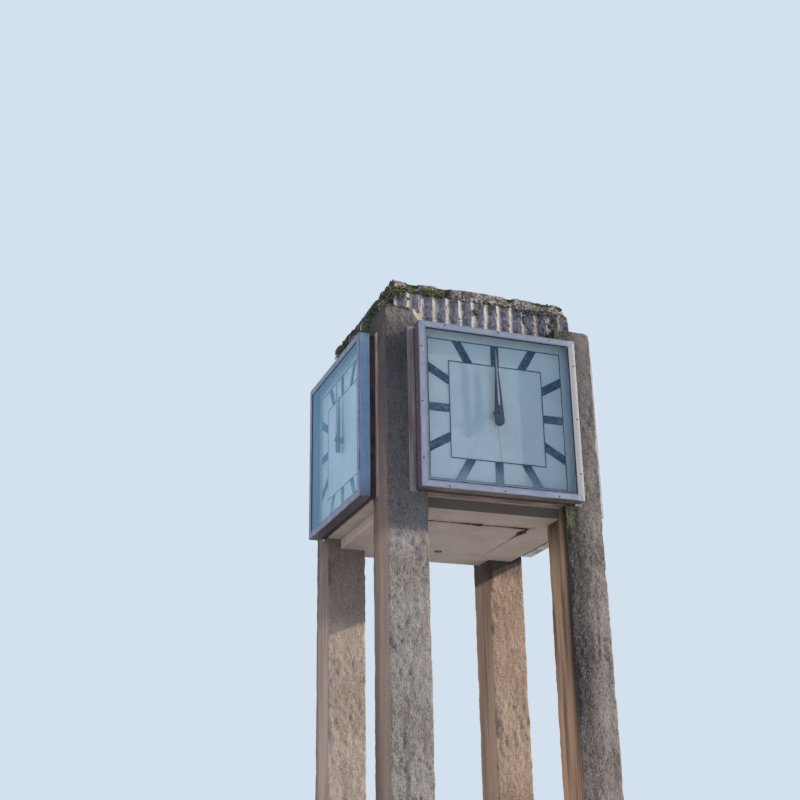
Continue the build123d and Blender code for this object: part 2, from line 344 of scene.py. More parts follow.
def weathered_concrete(name, pale, brown, side, soot_and_shade, soot_and_shade_from, soot_and_shade_to, strip=None, stain=None,
                       algae=False, top_grime=0.0, dirt_and_shade=0.0, moss=0.0, lean=0.0):
    """Cast concrete whose skin has weathered off, with rain streaks, smoke grime, painted shade, other grime
    and growth in coats.

    side is the colour of the smoother faces towards -X, partly lightened as a painted bounce light,
    and strip two places along Y between which they darken. soot is how dark the smoke grime and
    the painted shade get between the heights soot_and_shade_from and soot_and_shade_to: the painted shade
    stands for the shadows that the casings and the tower's head cast on the piers. lean is how much higher
    that dark edge lies for each metre towards +X: on the rear right pier it is the painted shadow
    of the right casing's underside. stain names two places along X between which a dark run on
    the front fades out. algae adds the green below the front casing's right corner, with brown
    streaks and a damp dark arris on the face beside it. top_grime is the share of grime above the
    casings, dirt that of grime and painted shade in the flutes and pits, and moss that of moss on
    the faces towards -X.
    """
    material, tree, place, at, facing = blank(name)
    # damp and dry patches 435 mm broad, as rain leaves them on a wall
    blotch = add(tree, "TexNoise", {"Scale": per_mm(435), "Detail": 5.0, "Roughness": 0.62},
                 {"Vector": place}).outputs[0]
    # stones of 11 mm, whose shading the rain has drawn out upright
    small = add(tree, "Mapping", {"Scale": per_mm(11, 11, 19)}, {"Vector": place}).outputs[0]
    grain = add(tree, "TexNoise", {"Scale": 1.0, "Detail": 4.0, "Roughness": 0.62},
                {"Vector": small}).outputs[0]
    # rain runs 62 mm apart that keep their line for 2 m
    drawn = add(tree, "Mapping", {"Scale": per_mm(62, 62, 2000)}, {"Vector": place}).outputs[0]
    lines = add(tree, "TexNoise", {"Scale": 1.0, "Detail": 4.0, "Roughness": 0.6},
                {"Vector": drawn}).outputs[0]
    # bands 167 mm wide, from the boards of the shuttering
    wide = add(tree, "Mapping", {"Scale": per_mm(167, 167, 1820)}, {"Vector": place}).outputs[0]
    bands = add(tree, "TexNoise", {"Scale": 1.0, "Detail": 3.0, "Roughness": 0.5},
                {"Vector": wide}).outputs[0]
    relief = add(tree, "Attribute", attribute_name="relief").outputs["Fac"]
    sheltered = (facing["X"], -0.50, -0.85)
    frontal = (facing["Y"], -0.40, -0.80)

    # worn faces: sand in two tones, pale and dark stones, dirty hollows and rubbed crests
    colour = coat(tree, brown, pale, (blotch, 0.38, 0.62))
    colour = coat(tree, colour, "d6cbbd", (grain, 0.50, 0.64), share=0.50)
    colour = coat(tree, colour, "463f3b", (grain, 0.47, 0.34), share=0.60)
    colour = coat(tree, colour, "4b4541", (relief, -0.1, -0.9), share=0.35)
    colour = coat(tree, colour, "d8cec1", (relief, 0.15, 0.55), share=0.22)
    # faces that keep their skin: bands from the boards, dark runs and a few stones, on a colour partly
    # lightened as a painted bounce light
    smooth = coat(tree, side, "7d6959", (bands, 0.62, 0.36), share=0.75)
    smooth = coat(tree, smooth, "5d4d42", (lines, 0.54, 0.74), share=0.40)
    smooth = coat(tree, smooth, "d9c7b2", (grain, 0.50, 0.64), share=0.18)
    if strip:
        smooth = coat(tree, smooth, "51463f", (at["Y"], *strip), (lines, 0.20, 0.45), share=0.50)
    colour = coat(tree, colour, smooth, sheltered, share=0.92)
    # soot and painted shade on the sheltered side, and on the others as far up as the casings reach:
    # the painted shade stands for the shadows that the casings and the tower's head cast on the piers
    # on the rear right pier the painted shade's edge slants up towards +X, along the shadow of the right
    # casing's underside
    shadow_slant = add(tree, "Math", {1: -lean}, {0: at["X"], 2: at["Z"]}, operation="MULTIPLY_ADD").outputs[0]
    drop = lean * (pier_inner + pier_face) / 2
    onset = soot_and_shade_from + SOOT_AND_SHADE_ONSET
    below_top = (at["Z"], casing_top + 0.06, casing_top - 0.04)
    for climb, part in (((at["Z"], soot_and_shade_from, onset), 0.50), ((shadow_slant, onset - drop, soot_and_shade_to - drop), 0.75)):
        colour = coat(tree, colour, "2f333d", climb, sheltered, (blotch, 0.0, 0.5), share=part * soot_and_shade)
        colour = coat(tree, colour, "2f333d", climb, below_top, (facing["X"], -0.85, -0.50),
                      (blotch, 0.0, 0.5), share=part * soot_and_shade)
    # dark rain runs all round, and painted shade: grey on the faces towards +X, where the key light falls
    # almost square
    colour = coat(tree, colour, "4a4541", (lines, 0.58, 0.72), share=0.30)
    colour = coat(tree, colour, "8a847d", (facing["X"], 0.40, 0.85), (blotch, 0.25, 0.60), share=0.75)
    if top_grime:
        colour = coat(tree, colour, "45464c", (at["Z"], casing_top - 0.04, casing_top + 0.04), frontal,
                      share=top_grime)
    # a break that is younger than the rest keeps its pale inside, made paler as a painted sunlight on it: its
    # relief is written as more than 1
    colour = coat(tree, colour, "dccfc3", (relief, 0.85, 1.0), (grain, 0.32, 0.56), share=0.60)
    if stain:
        colour = coat(tree, colour, "333238", (at["X"], *stain), (at["Z"], 1.6, 3.0), frontal,
                      (grain, 0.90, 0.50), share=0.82)
    if algae:
        colour = coat(tree, colour, "7f8c44", (at["X"], 0.71, 0.63), (at["Y"], -0.88, -0.94),
                      (at["Z"], 4.28, 4.42), (grain, 0.42, 0.56), share=0.75)
        colour = coat(tree, colour, "33251f", (at["Z"], 4.15, 4.45), sheltered, (bands, 0.80, 0.45),
                      share=0.80)
        colour = coat(tree, colour, "54392c", (bands, 0.52, 0.44), sheltered, (lines, 0.30, 0.55), share=0.55)
        colour = coat(tree, colour, "e0b792", (at["Z"], 3.6, 2.9), sheltered, (lines, 0.70, 0.44), share=0.72)
        colour = coat(tree, colour, "23251d", (at["Y"], -0.885, -0.935), (facing["X"], -0.2, -0.6),
                      (at["Z"], 2.1, 3.3), share=0.80)
    if dirt_and_shade:
        # dirt and painted shade in the hollows, among them the flutes' middles
        colour = coat(tree, colour, "595a64", (relief, -0.15, -0.9), share=dirt_and_shade)
        # spots 30 mm across, where single stones have kept or lost their coat of soot; they mottle the
        # painted shade on faces turned from the key light and the dark dirt on the right half
        close_set = add(tree, "Mapping", {"Scale": per_mm(30, 30, 38)}, {"Vector": place}).outputs[0]
        spots = add(tree, "TexNoise", {"Scale": 1.0, "Detail": 3.0, "Roughness": 0.7},
                    {"Vector": close_set}).outputs[0]
        shaded_hollow = coat(tree, "6a6873", "c6c0c1", (spots, 0.38, 0.62))
        # painted shade: faces not turned towards +X, which the key light misses, take the mottled grey
        colour = coat(tree, colour, shaded_hollow, (facing["X"], 0.14, 0.0), share=1.2 * dirt_and_shade)
        colour = coat(tree, colour, "2b2e38", (spots, 0.60, 0.42), (at["X"], 0.05, 0.55), frontal, share=dirt_and_shade)
        # dark growth and painted shade below the cap, on faces not turned towards +X
        colour = coat(tree, colour, "1f2424", (facing["X"], 0.20, 0.04), (at["Z"], 6.29, 6.39),
                      (bands, 0.44, 0.54), share=dirt_and_shade)
    if moss:
        green = coat(tree, "262e28", "5c6a52", (grain, 0.40, 0.60))
        colour = coat(tree, colour, green, sheltered, (blotch, 0.34, 0.46), share=moss)

    bump = add(tree, "Bump", {"Strength": 1.0, "Distance": 0.007}, {"Height": grain})
    shader = add(tree, "BsdfPrincipled", {"Roughness": 0.92, "Specular IOR Level": 0.25},
                 {"Base Color": colour, "Normal": bump.outputs[0]})
    add(tree, "OutputMaterial", None, {0: shader.outputs[0]})
    return material


pier_concretes = {
    "front_left": weathered_concrete(
        "front_left_concrete", "b6aea4", "9b9186", "b59e8b", 0.86, 4.18, 5.80, strip=(-0.76, -0.68),
        top_grime=0.35),
    "front_right": weathered_concrete(
        "front_right_concrete", "b3a79b", "91847a", "d6b491", 0.40, 4.50, 5.40, strip=(-0.88, -0.94),
        stain=(0.86, 0.72), algae=True, top_grime=0.25),
    "rear_left": weathered_concrete(
        "rear_left_concrete", "e4cfbd", "c8b3a0", "d0baa6", 0.60, 3.76, 4.50, strip=(0.84, 0.92)),
    # painted shadow: the rear right pier's head is dark up to a slanted edge along the right casing's shadow
    "rear_right": weathered_concrete(
        "rear_right_concrete", "dcbda1", "bd9d83", "c8aa90", 1.0, 4.25, 4.39, lean=0.52),
}
attic_concrete = weathered_concrete(
    "attic_concrete", "ede5dc", "d0c7bd", "9c9286", 0.25, 6.20, 6.42, stain=(0.25, 1.05),
    dirt_and_shade=0.60, moss=0.95)
print("concrete ready")

# %% [markdown]
# ## The piers
#
# Each pier is a square shaft 350 mm across. The surface is a grid: columns run round a
# square with small rounded arrises, rows climb from the ground to the top, and every point
# moves along its outward normal by the relief. At the arrises the relief bites deeper,
# because that is where old concrete chips. The side that faces -X is sheltered and keeps
# about two fifths of the roughness.

# %% Piers
PIER_ARRIS = 0.009
PIER_STEP_ROUND = 0.0102
PIER_STEP_UP = 0.0142
ARC_STEPS = 3
QUARTER_TURN = np.array([[0.0, 1.0], [-1.0, 0.0]])
# how far the flat top and its rim lie below the solid's top
TOP_DROP = 0.004
RIM_DROP = 0.007
# places on the front face where a top corner has broken away: x, z and the lean of the break
TOP_BREAKS = {
    "front_left": [(-0.721, 6.158, 1.05)],
    "front_right": [(0.905, 6.205, 0.95)],
}
BREAK_SLOPE = 0.55
# deeper than this the break has gone through the old skin, and its relief is written as the value that marks
# a fresh break, painted pale, partly as sunlight on it
OLD_SKIN = 0.002
FRESH_AND_SUNLIT = 1.2


def round_square(run):
    """Points or directions along one side of a square, followed by their three quarter turns."""
    sides = [run]
    for _ in range(3):
        sides.append(sides[-1] @ QUARTER_TURN)
    return np.concatenate(sides)


def square_ring(half, radius, step):
    """Points, outward normals and distances from the nearest arris, round a square with rounded corners.

    Each side is a straight run from -(half - radius) to half - radius, followed by a quarter
    arc about the corner's centre.
    """
    reach = half - radius
    straight = np.linspace(-reach, reach, max(2, round(2 * reach / step)) + 1)
    turn = np.linspace(0, math.pi / 2, ARC_STEPS + 1)[1:-1]
    side = np.stack([straight, np.full_like(straight, -half)], -1)
    arc = np.stack([reach + radius * np.sin(turn), -reach - radius * np.cos(turn)], -1)
    run = np.concatenate([side, arc])
    normal = np.concatenate([np.tile([0.0, -1.0], (len(side), 1)),
                             np.stack([np.sin(turn), -np.cos(turn)], -1)])
    edge = np.concatenate([reach - np.abs(straight), np.zeros(len(turn))])
    return round_square(run), round_square(normal), np.tile(edge, 4)


def concrete_relief(points, normals, edge, seed):
    """Relief along the normal: rough concrete, deeper chips near an arris, and less on the -X side."""
    shelter = 1 - 0.62 * np.clip(-normals[..., 0], 0, 1) ** 2
    near = np.exp(-edge / 0.02)
    chips = ease(noise(points, (0.09, 0.09, 0.16), seed + 40), 0.05, 0.75)
    crumbs = ease(noise(points, 0.035, seed + 41), 0.1, 0.8)
    bites = near * (0.011 * chips + 0.004 * crumbs)
    return shelter * (rough(points, seed) - bites)


def broken_off(points, x, z, lean):
    """Points beyond the plane of a break, laid back onto it along its normal, and how far each one moved.

    On the front face the break starts at a line through (x, z) that leans by lean, and it
    deepens by BREAK_SLOPE times the distance past that line. Noise makes it uneven.
    """
    out = np.array([BREAK_SLOPE * math.sin(lean), -1.0, BREAK_SLOPE * math.cos(lean)])
    out /= np.linalg.norm(out)
    past = (points - np.array([x, -pier_face, z])) @ out + 0.007 * noise(points, 0.05, 83)
    past = np.clip(past, 0, None)
    return points - past[..., None] * out, past


def pier(end, hand):
    """One pier: the rounded square carried up in rows, its top closed by rings that shrink to the middle."""
    low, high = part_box(f"pier_{end}_{hand}")
    middle = np.array([(low.x + high.x) / 2, (low.y + high.y) / 2, 0.0])
    ring, normal, edge = square_ring((high.x - low.x) / 2, PIER_ARRIS, PIER_STEP_ROUND)
    rows = round((high.z - low.z) / PIER_STEP_UP)
    levels = np.linspace(low.z, high.z, rows + 1)
    points = np.empty((len(levels), len(ring), 3))
    points[..., :2] = ring
    points[..., 2] = levels[:, None]
    points += middle
    normals = np.zeros_like(points)
    normals[..., :2] = normal
    from_top = high.z - points[..., 2]
    depth = concrete_relief(points, normals, np.broadcast_to(edge, points.shape[:2]), 1)
    depth = depth - 0.010 * np.exp(-from_top / 0.03) * (0.6 + 0.5 * noise(points, 0.08, 77))
    points = points + depth[..., None] * normals

    shrink = np.linspace(1, 0, 18)[1:-1]
    inner_rings = (points[-1, :, :2] - middle[:2])[None] * shrink[:, None, None]
    top = middle + np.concatenate([inner_rings, np.zeros((len(shrink), len(ring), 1))], -1)
    top[..., 2] = high.z - TOP_DROP + rough(top + np.array([0, 0, high.z]), 3) * 1.6
    points[-1, :, 2] = high.z - RIM_DROP + 0.004 * noise(points[-1], 0.05, 9)
    values = np.concatenate([depth, top[..., 2] - high.z + TOP_DROP]) / RELIEF_UNIT
    points = np.concatenate([points, top])
    for place in TOP_BREAKS.get(f"{end}_{hand}", ()):
        points, past = broken_off(points, *place)
        values = np.where(past > OLD_SKIN, FRESH_AND_SUNLIT, values)
    count = len(ring)
    around = np.arange(count)
    faces = [grid_quads(len(points), count, wrap=True),
             fan((len(points) - 1) * count + around, len(points) * count), around[::-1]]
    flat = np.concatenate([points.reshape(-1, 3), middle[None] + [[0, 0, high.z - 0.005]]])
    return piece(f"pier_{end}_{hand}_concrete", flat, faces, pier_concretes[f"{end}_{hand}"],
                 replaces=[f"pier_{end}_{hand}"], values=np.append(values, 0.0))


for end in ("front", "rear"):
    for hand in ("left", "right"):
        pier(end, hand)

# %% [markdown]
# ## The fluted attic
#
# Above the clocks the wall is cut with fourteen shallow hollow flutes a side. Seen from
# above, a flute is a circular segment, and the ridge left between two of them is the
# arris. Sunlight that grazes the wall lights one flank of each flute and leaves the other
# dark, so the flutes have to be real shape. Two grids make a wall: a broad one that bears
# on the pier tops, mitred at its ends, and a narrow one that hangs between the piers.

# %% Attic walls
FLUTES = 14
FLUTE_DEPTH = 0.015
FLUTE_ARRIS = 0.008
FLUTE_COLUMNS = 15
ATTIC_STEP_UP = 0.0105
# a column of points nearer than this to the end of the wall is left out
SLIVER = 0.003
# the broad panel reaches this far down into the pier tops, and the narrow one this far up into it
ATTIC_SEAT = 0.012
ATTIC_LAP = 0.010


def flute_inset(across):
    """Depth of the flute at a place across the wall: the segment of a circle between two arrises."""
    pitch = 2 * attic_face / FLUTES
    chord = (pitch - FLUTE_ARRIS) / 2
    radius = (chord**2 + FLUTE_DEPTH**2) / (2 * FLUTE_DEPTH)
    off = (across + attic_face) % pitch - pitch / 2
    return np.clip(np.sqrt(np.clip(radius**2 - off**2, 0, None)) - (radius - FLUTE_DEPTH), 0, None)


def fluted_panel(half, foot, top, back_ratio):
    """A front panel with flutes as a closed shell: front grid, four edges and one flat back face.

    Its depth at a place is the flute's inset, less the concrete's relief, plus chips that
    gather where the inset is nearly 0, plus a wear that fades out over 30 mm from either end.
    """
    pitch = 2 * attic_face / FLUTES
    one = np.concatenate([[0.0], np.linspace(FLUTE_ARRIS / 2, pitch - FLUTE_ARRIS / 2, FLUTE_COLUMNS)])
    across = (-attic_face + np.arange(FLUTES)[:, None] * pitch + one[None]).ravel()
    across = np.concatenate([[-half], across[np.abs(across) < half - SLIVER], [half]])
    levels = np.linspace(foot, top, round((top - foot) / ATTIC_STEP_UP) + 1)
    x, z = np.meshgrid(across, levels)
    flat = np.stack([x, np.full_like(x, -attic_face), z], -1)
    inset = flute_inset(x)
    ridge = np.exp(-inset / 0.003)
    relief = rough(flat, 60) * 0.6
    chips = ease(noise(flat, (0.03, 0.03, 0.045), 71), -0.2, 0.7) * ridge * 0.007
    chips = chips + ease(noise(flat, (0.02, 0.02, 0.024), 73), -0.1, 0.5) * ridge * 0.003
    corner = np.exp(-(half - np.abs(x)) / 0.03) * (0.010 + 0.008 * noise(flat, 0.07, 72))
    depth = inset - relief + chips + corner
    front = np.stack([x - np.sign(x) * corner, -attic_face + depth, z], -1)
    front = front.reshape(-1, 3)
    rows, width = x.shape
    number = np.arange(rows * width).reshape(rows, width)
    rim = np.concatenate([number[0], number[1:, -1], number[-1, -2::-1], number[-2:0:-1, 0]])
    back = front[rim]
    back[:, 1] = -attic_back
    back[:, 0] *= back_ratio
    back_number = len(front) + np.arange(len(back))
    edges = np.stack([rim, back_number, np.roll(back_number, -1), np.roll(rim, -1)], -1)
    faces = [grid_quads(rows, width), edges, back_number]
    # the flutes' own depth counts as hollow too, so that dirt and painted shade lie in their middles
    shaded_hollow = np.clip(inset / FLUTE_DEPTH - 0.35, 0, 1) / 0.65 * 0.0075
    values = np.concatenate([(relief - shaded_hollow).ravel() / RELIEF_UNIT + 0.2, np.zeros(len(back))])
    return np.concatenate([front, back]), faces, values


def attic_wall(side):
    """Both panels of one wall in one mesh."""
    upper = fluted_panel(attic_face, pier_top - ATTIC_SEAT, ATTIC_HIGH.z, attic_back / attic_face)
    lower = fluted_panel(pier_inner - 0.001, ATTIC_LOW.z, pier_top + ATTIC_LAP, 1.0)
    shift = len(upper[0])
    points = np.concatenate([upper[0], lower[0]])
    faces = upper[1] + [f + shift for f in lower[1]]
    values = np.concatenate([upper[2], lower[2]])
    return piece(f"attic_{side}_flutes", turned(points, side), faces, attic_concrete,
                 replaces=[f"attic_wall_{side}"], values=values)


for side in SIDES:
    attic_wall(side)

# %% [markdown]
# ## The cap under its moss
#
# The slab on top is rotten at its edges and green with moss. It is the same trick as the
# piers: square rings, this time moved inwards and upwards along a profile that runs from
# the underside, round the battered edge and over the low hipped top to the middle.

# %% Cap slab


def mossy_crust():
    """Eroded concrete under moss: a sandy crust, dark where it is hollow or wet, dark growth with painted
    shade along its lower edge, and green mats on it.
    """
    material, tree, place, at, facing = blank("mossy_crust")
    # mats of moss 182 mm broad; shoots are 2 mm and sand is 1 mm, drawn at 12 and 22 mm so that they show
    patch = add(tree, "TexNoise", {"Scale": per_mm(182), "Detail": 5.0, "Roughness": 0.6},
                {"Vector": place}).outputs[0]
    tuft = add(tree, "TexNoise", {"Scale": per_mm(12.5), "Detail": 4.0, "Roughness": 0.75},
               {"Vector": place}).outputs[0]
    sand = add(tree, "TexNoise", {"Scale": per_mm(22), "Detail": 3.0, "Roughness": 0.65},
               {"Vector": place}).outputs[0]
    relief = add(tree, "Attribute", attribute_name="relief").outputs["Fac"]
    colour = coat(tree, "6c686a", "e4d8ce", (sand, 0.42, 0.62))
    colour = coat(tree, colour, "2a2829", (relief, 0.05, -0.55), share=0.80)
    colour = coat(tree, colour, "33312f", (at["X"], 0.30, 0.80), (patch, 0.60, 0.46), share=0.60)
    moss = coat(tree, "262c1e", "7c8044", (tuft, 0.38, 0.64))
    # dark growth and painted shade along the cap's lower edge, over the heads of the flutes
    lip = CAP_LOW.z + 0.045, CAP_LOW.z + 0.012
    colour = coat(tree, colour, "23261f", (at["Z"], *lip), (sand, 0.60, 0.44), share=0.85)
    colour = coat(tree, colour, moss, (patch, 0.46, 0.55), (at["X"], 0.72, 0.50), share=0.70)
    bump = add(tree, "Bump", {"Strength": 1.0, "Distance": 0.010}, {"Height": tuft})
    shader = add(tree, "BsdfPrincipled", {"Roughness": 0.97, "Specular IOR Level": 0.15},
                 {"Base Color": colour, "Normal": bump.outputs[0]})
    add(tree, "OutputMaterial", None, {0: shader.outputs[0]})
    return material


cap_crust = mossy_crust()
CAP_STEP = 0.0125
CAP_ARRIS = 0.014
CAP_BATTER = 0.010
CAP_FALL = 0.006
CAP_EDGE_ROWS, CAP_TOP_ROWS = 8, 29
# the crust is rougher than the piers, so that a relief of 1 is deeper here
CRUST_UNIT = 0.012


def cap_slab():
    """Rings of a square carried over the cap's profile and roughened along the profile's normal.

    Erosion bites deepest on the +X side and at the corner there, and the -X side carries a
    swollen crust of moss.
    """
    half, edge_top = CAP_HIGH.x, CAP_HIGH.z - CAP_FALL
    ring, normal, edge = square_ring(half, CAP_ARRIS, CAP_STEP)
    under = [0.16, 0.08, 0.0]
    climb = np.linspace(0, 1, CAP_EDGE_ROWS + 1)[1:]
    inward = np.linspace(0, 1, CAP_TOP_ROWS + 1)[1:] ** 0.8
    inset = np.concatenate([under, CAP_BATTER * climb, (half - CAP_BATTER) * inward + CAP_BATTER])
    level = np.concatenate([np.full(len(under), CAP_LOW.z), CAP_LOW.z + (edge_top - CAP_LOW.z) * climb,
                            edge_top + (CAP_HIGH.z - edge_top) * inward])
    outwards = np.concatenate([[0, 0, 0.7], np.ones(CAP_EDGE_ROWS - 1), [0.7], np.zeros(CAP_TOP_ROWS)])
    upwards = np.concatenate([[0, 0, -0.7], np.zeros(CAP_EDGE_ROWS - 1), [0.7], np.ones(CAP_TOP_ROWS)])
    scale = np.clip((half - inset) / half, 0.002, None)
    points = np.empty((len(level), len(ring), 3))
    points[..., :2] = ring[None] * scale[:, None, None]
    points[..., 2] = level[:, None]
    lumps = rough(points, 90) * 1.4 + 0.007 * noise(points, (0.11, 0.11, 0.06), 91)
    bites = 0.020 * ease(noise(points, (0.13, 0.13, 0.10), 92), 0.2, 0.8)
    swollen = 0.020 * np.clip(-normal[:, 0], 0, 1) - 0.026 * np.clip(normal[:, 0], 0, 1)
    lip = np.clip((points[..., 2] - CAP_LOW.z) / (edge_top - CAP_LOW.z), 0, 1)
    depth = lumps - bites + swollen[None] * (outwards[:, None] > 0) * (0.4 + 0.6 * lip)
    worn = 0.022 + 0.020 * np.sign(ring[:, 0]) + 0.015 * (1 + np.sign(ring[:, 1]))
    corner = (np.exp(-edge / 0.045) * worn)[None]
    depth = depth - corner * outwards[:, None] * (0.5 + lip)
    points[..., :2] += depth[..., None] * normal[None] * outwards[:, None, None]
    sink = np.minimum(depth * 0.8, 0.004) * np.clip(upwards, 0, None)[:, None]
    points[..., 2] = np.minimum(points[..., 2] + sink, CAP_HIGH.z - 0.001)
    count = len(ring)
    around = np.arange(count)
    flat = np.concatenate([points.reshape(-1, 3), [[0, 0, CAP_HIGH.z - 0.002]]])
    faces = [grid_quads(len(level), count, wrap=True),
             fan((len(level) - 1) * count + around, len(flat) - 1), around[::-1]]
    values = (lumps - bites) / CRUST_UNIT
    return piece("cap_slab_crust", flat, faces, cap_crust, replaces=["cap_slab"],
                 values=np.append(values, 0.0))


cap_slab()

# %% [markdown]
# ## Moss cushions
#
# Moss grows in separate little domes that merge into mats. About three thousand low-poly
# domes, each pushed out of round by noise and tilted to the surface that it grows on, make
# mats with a broken outline, and joined into one mesh they cost one object. They sit where
# water stays: under the cap, along the ledges on the pier tops and all over the -X side.

# %% Moss
DOME_RINGS, DOME_SEGMENTS = 3, 8
# the last ring lies past the dome's widest, where it tucks in under the edge
DOME_SWEEP = math.radians(105)
# cushions on a wall lean upwards by this much for each metre outwards
CUSHION_LEAN = 0.35


def moss_green():
    """Living moss: near black in its depths, grey-green, partly as a painted shade, and yellow-green at its
    tips as a painted sunlight on the upward faces towards the front.
    """
    material, tree, place, at, facing = blank("moss_green")
    # shoots are 2 mm across, drawn at 9 mm so that they show
    tuft = add(tree, "TexNoise", {"Scale": per_mm(9), "Detail": 4.0, "Roughness": 0.75},
               {"Vector": place}).outputs[0]
    tone = add(tree, "TexNoise", {"Scale": per_mm(222), "Detail": 3.0, "Roughness": 0.5},
               {"Vector": place}).outputs[0]
    # grey-green shoots with pale tips; the grey is partly a painted shade
    colour = coat(tree, "384040", "74806f", (tuft, 0.38, 0.60))
    colour = coat(tree, colour, "a0aaa4", (tuft, 0.56, 0.64), share=0.7)
    painted_sunlight = coat(tree, "555c26", "b8ad55", (tuft, 0.38, 0.60))
    # painted sunlight: yellow-green on the upward faces of cushions towards the front, away from the -X side
    for limit in ((at["X"], -0.89, -0.80), (at["Y"], -0.80, -0.88)):
        colour = coat(tree, colour, painted_sunlight, (facing["Z"], -0.5, 0.3), (tone, 0.36, 0.46), limit, share=0.85)
    bump = add(tree, "Bump", {"Strength": 1.0, "Distance": 0.010}, {"Height": tuft})
    shader = add(tree, "BsdfPrincipled", {"Roughness": 0.97, "Specular IOR Level": 0.15},
                 {"Base Color": colour, "Normal": bump.outputs[0]})
    add(tree, "OutputMaterial", None, {0: shader.outputs[0]})
    return material


def domes(name, centres, outward, radii, height, material):
    """Many small domes in one mesh: rings of a half ball, squashed to height and set on outward."""
    centres, outward = np.asarray(centres, float), np.asarray(outward, float)
    outward = outward / np.linalg.norm(outward, axis=1, keepdims=True)
    helper = np.where(np.abs(outward[:, 2:3]) > 0.8, [[1.0, 0, 0]], [[0, 0, 1.0]])
    across = np.cross(helper, outward)
    across /= np.linalg.norm(across, axis=1, keepdims=True)
    along = np.cross(outward, across)
    tilt = np.linspace(0, DOME_SWEEP, DOME_RINGS + 1)[1:]
    turn = np.arange(DOME_SEGMENTS) * 2 * math.pi / DOME_SEGMENTS
    ball = np.stack([np.outer(np.sin(tilt), np.cos(turn)), np.outer(np.sin(tilt), np.sin(turn)),
                     np.outer(np.cos(tilt), np.ones(DOME_SEGMENTS))], -1).reshape(-1, 3)
    ball = np.concatenate([[[0, 0, 1.0]], ball])
    size = np.asarray(radii, float)[:, None, None]
    local = ball[None] * size * np.array([1.0, 1.0, height])
    points = centres[:, None] + local[..., :1] * across[:, None] + local[..., 1:2] * along[:, None]
    points = points + local[..., 2:] * outward[:, None]
    away = points - centres[:, None]
    points = centres[:, None] + away * (1 + 0.5 * noise(points, 0.011, 44))[..., None]
    points[..., 2] = np.minimum(points[..., 2], CAP_HIGH.z - 0.001)
    around = 1 + np.arange(DOME_SEGMENTS)
    belt = grid_quads(DOME_RINGS, DOME_SEGMENTS, wrap=True) + 1
    foot = ((DOME_RINGS - 1) * DOME_SEGMENTS + around)[::-1]
    faces = repeated((fan(around, 0), belt, foot[None]), len(centres), len(ball))
    return piece(name, points, faces, material)


def scatter(count, x, y, z, radius, seed):
    """Random places in a box and radii in a range, kept where slow noise is high so that they gather."""
    source = np.random.default_rng(seed)
    low, high = np.array([x, y, z], float).T
    places = low + (high - low) * source.random((count, 3))
    size = radius[0] + (radius[1] - radius[0]) * source.random(count) ** 3.0
    keep = noise(places, 0.16, seed) > -0.25
    return places[keep], size[keep]


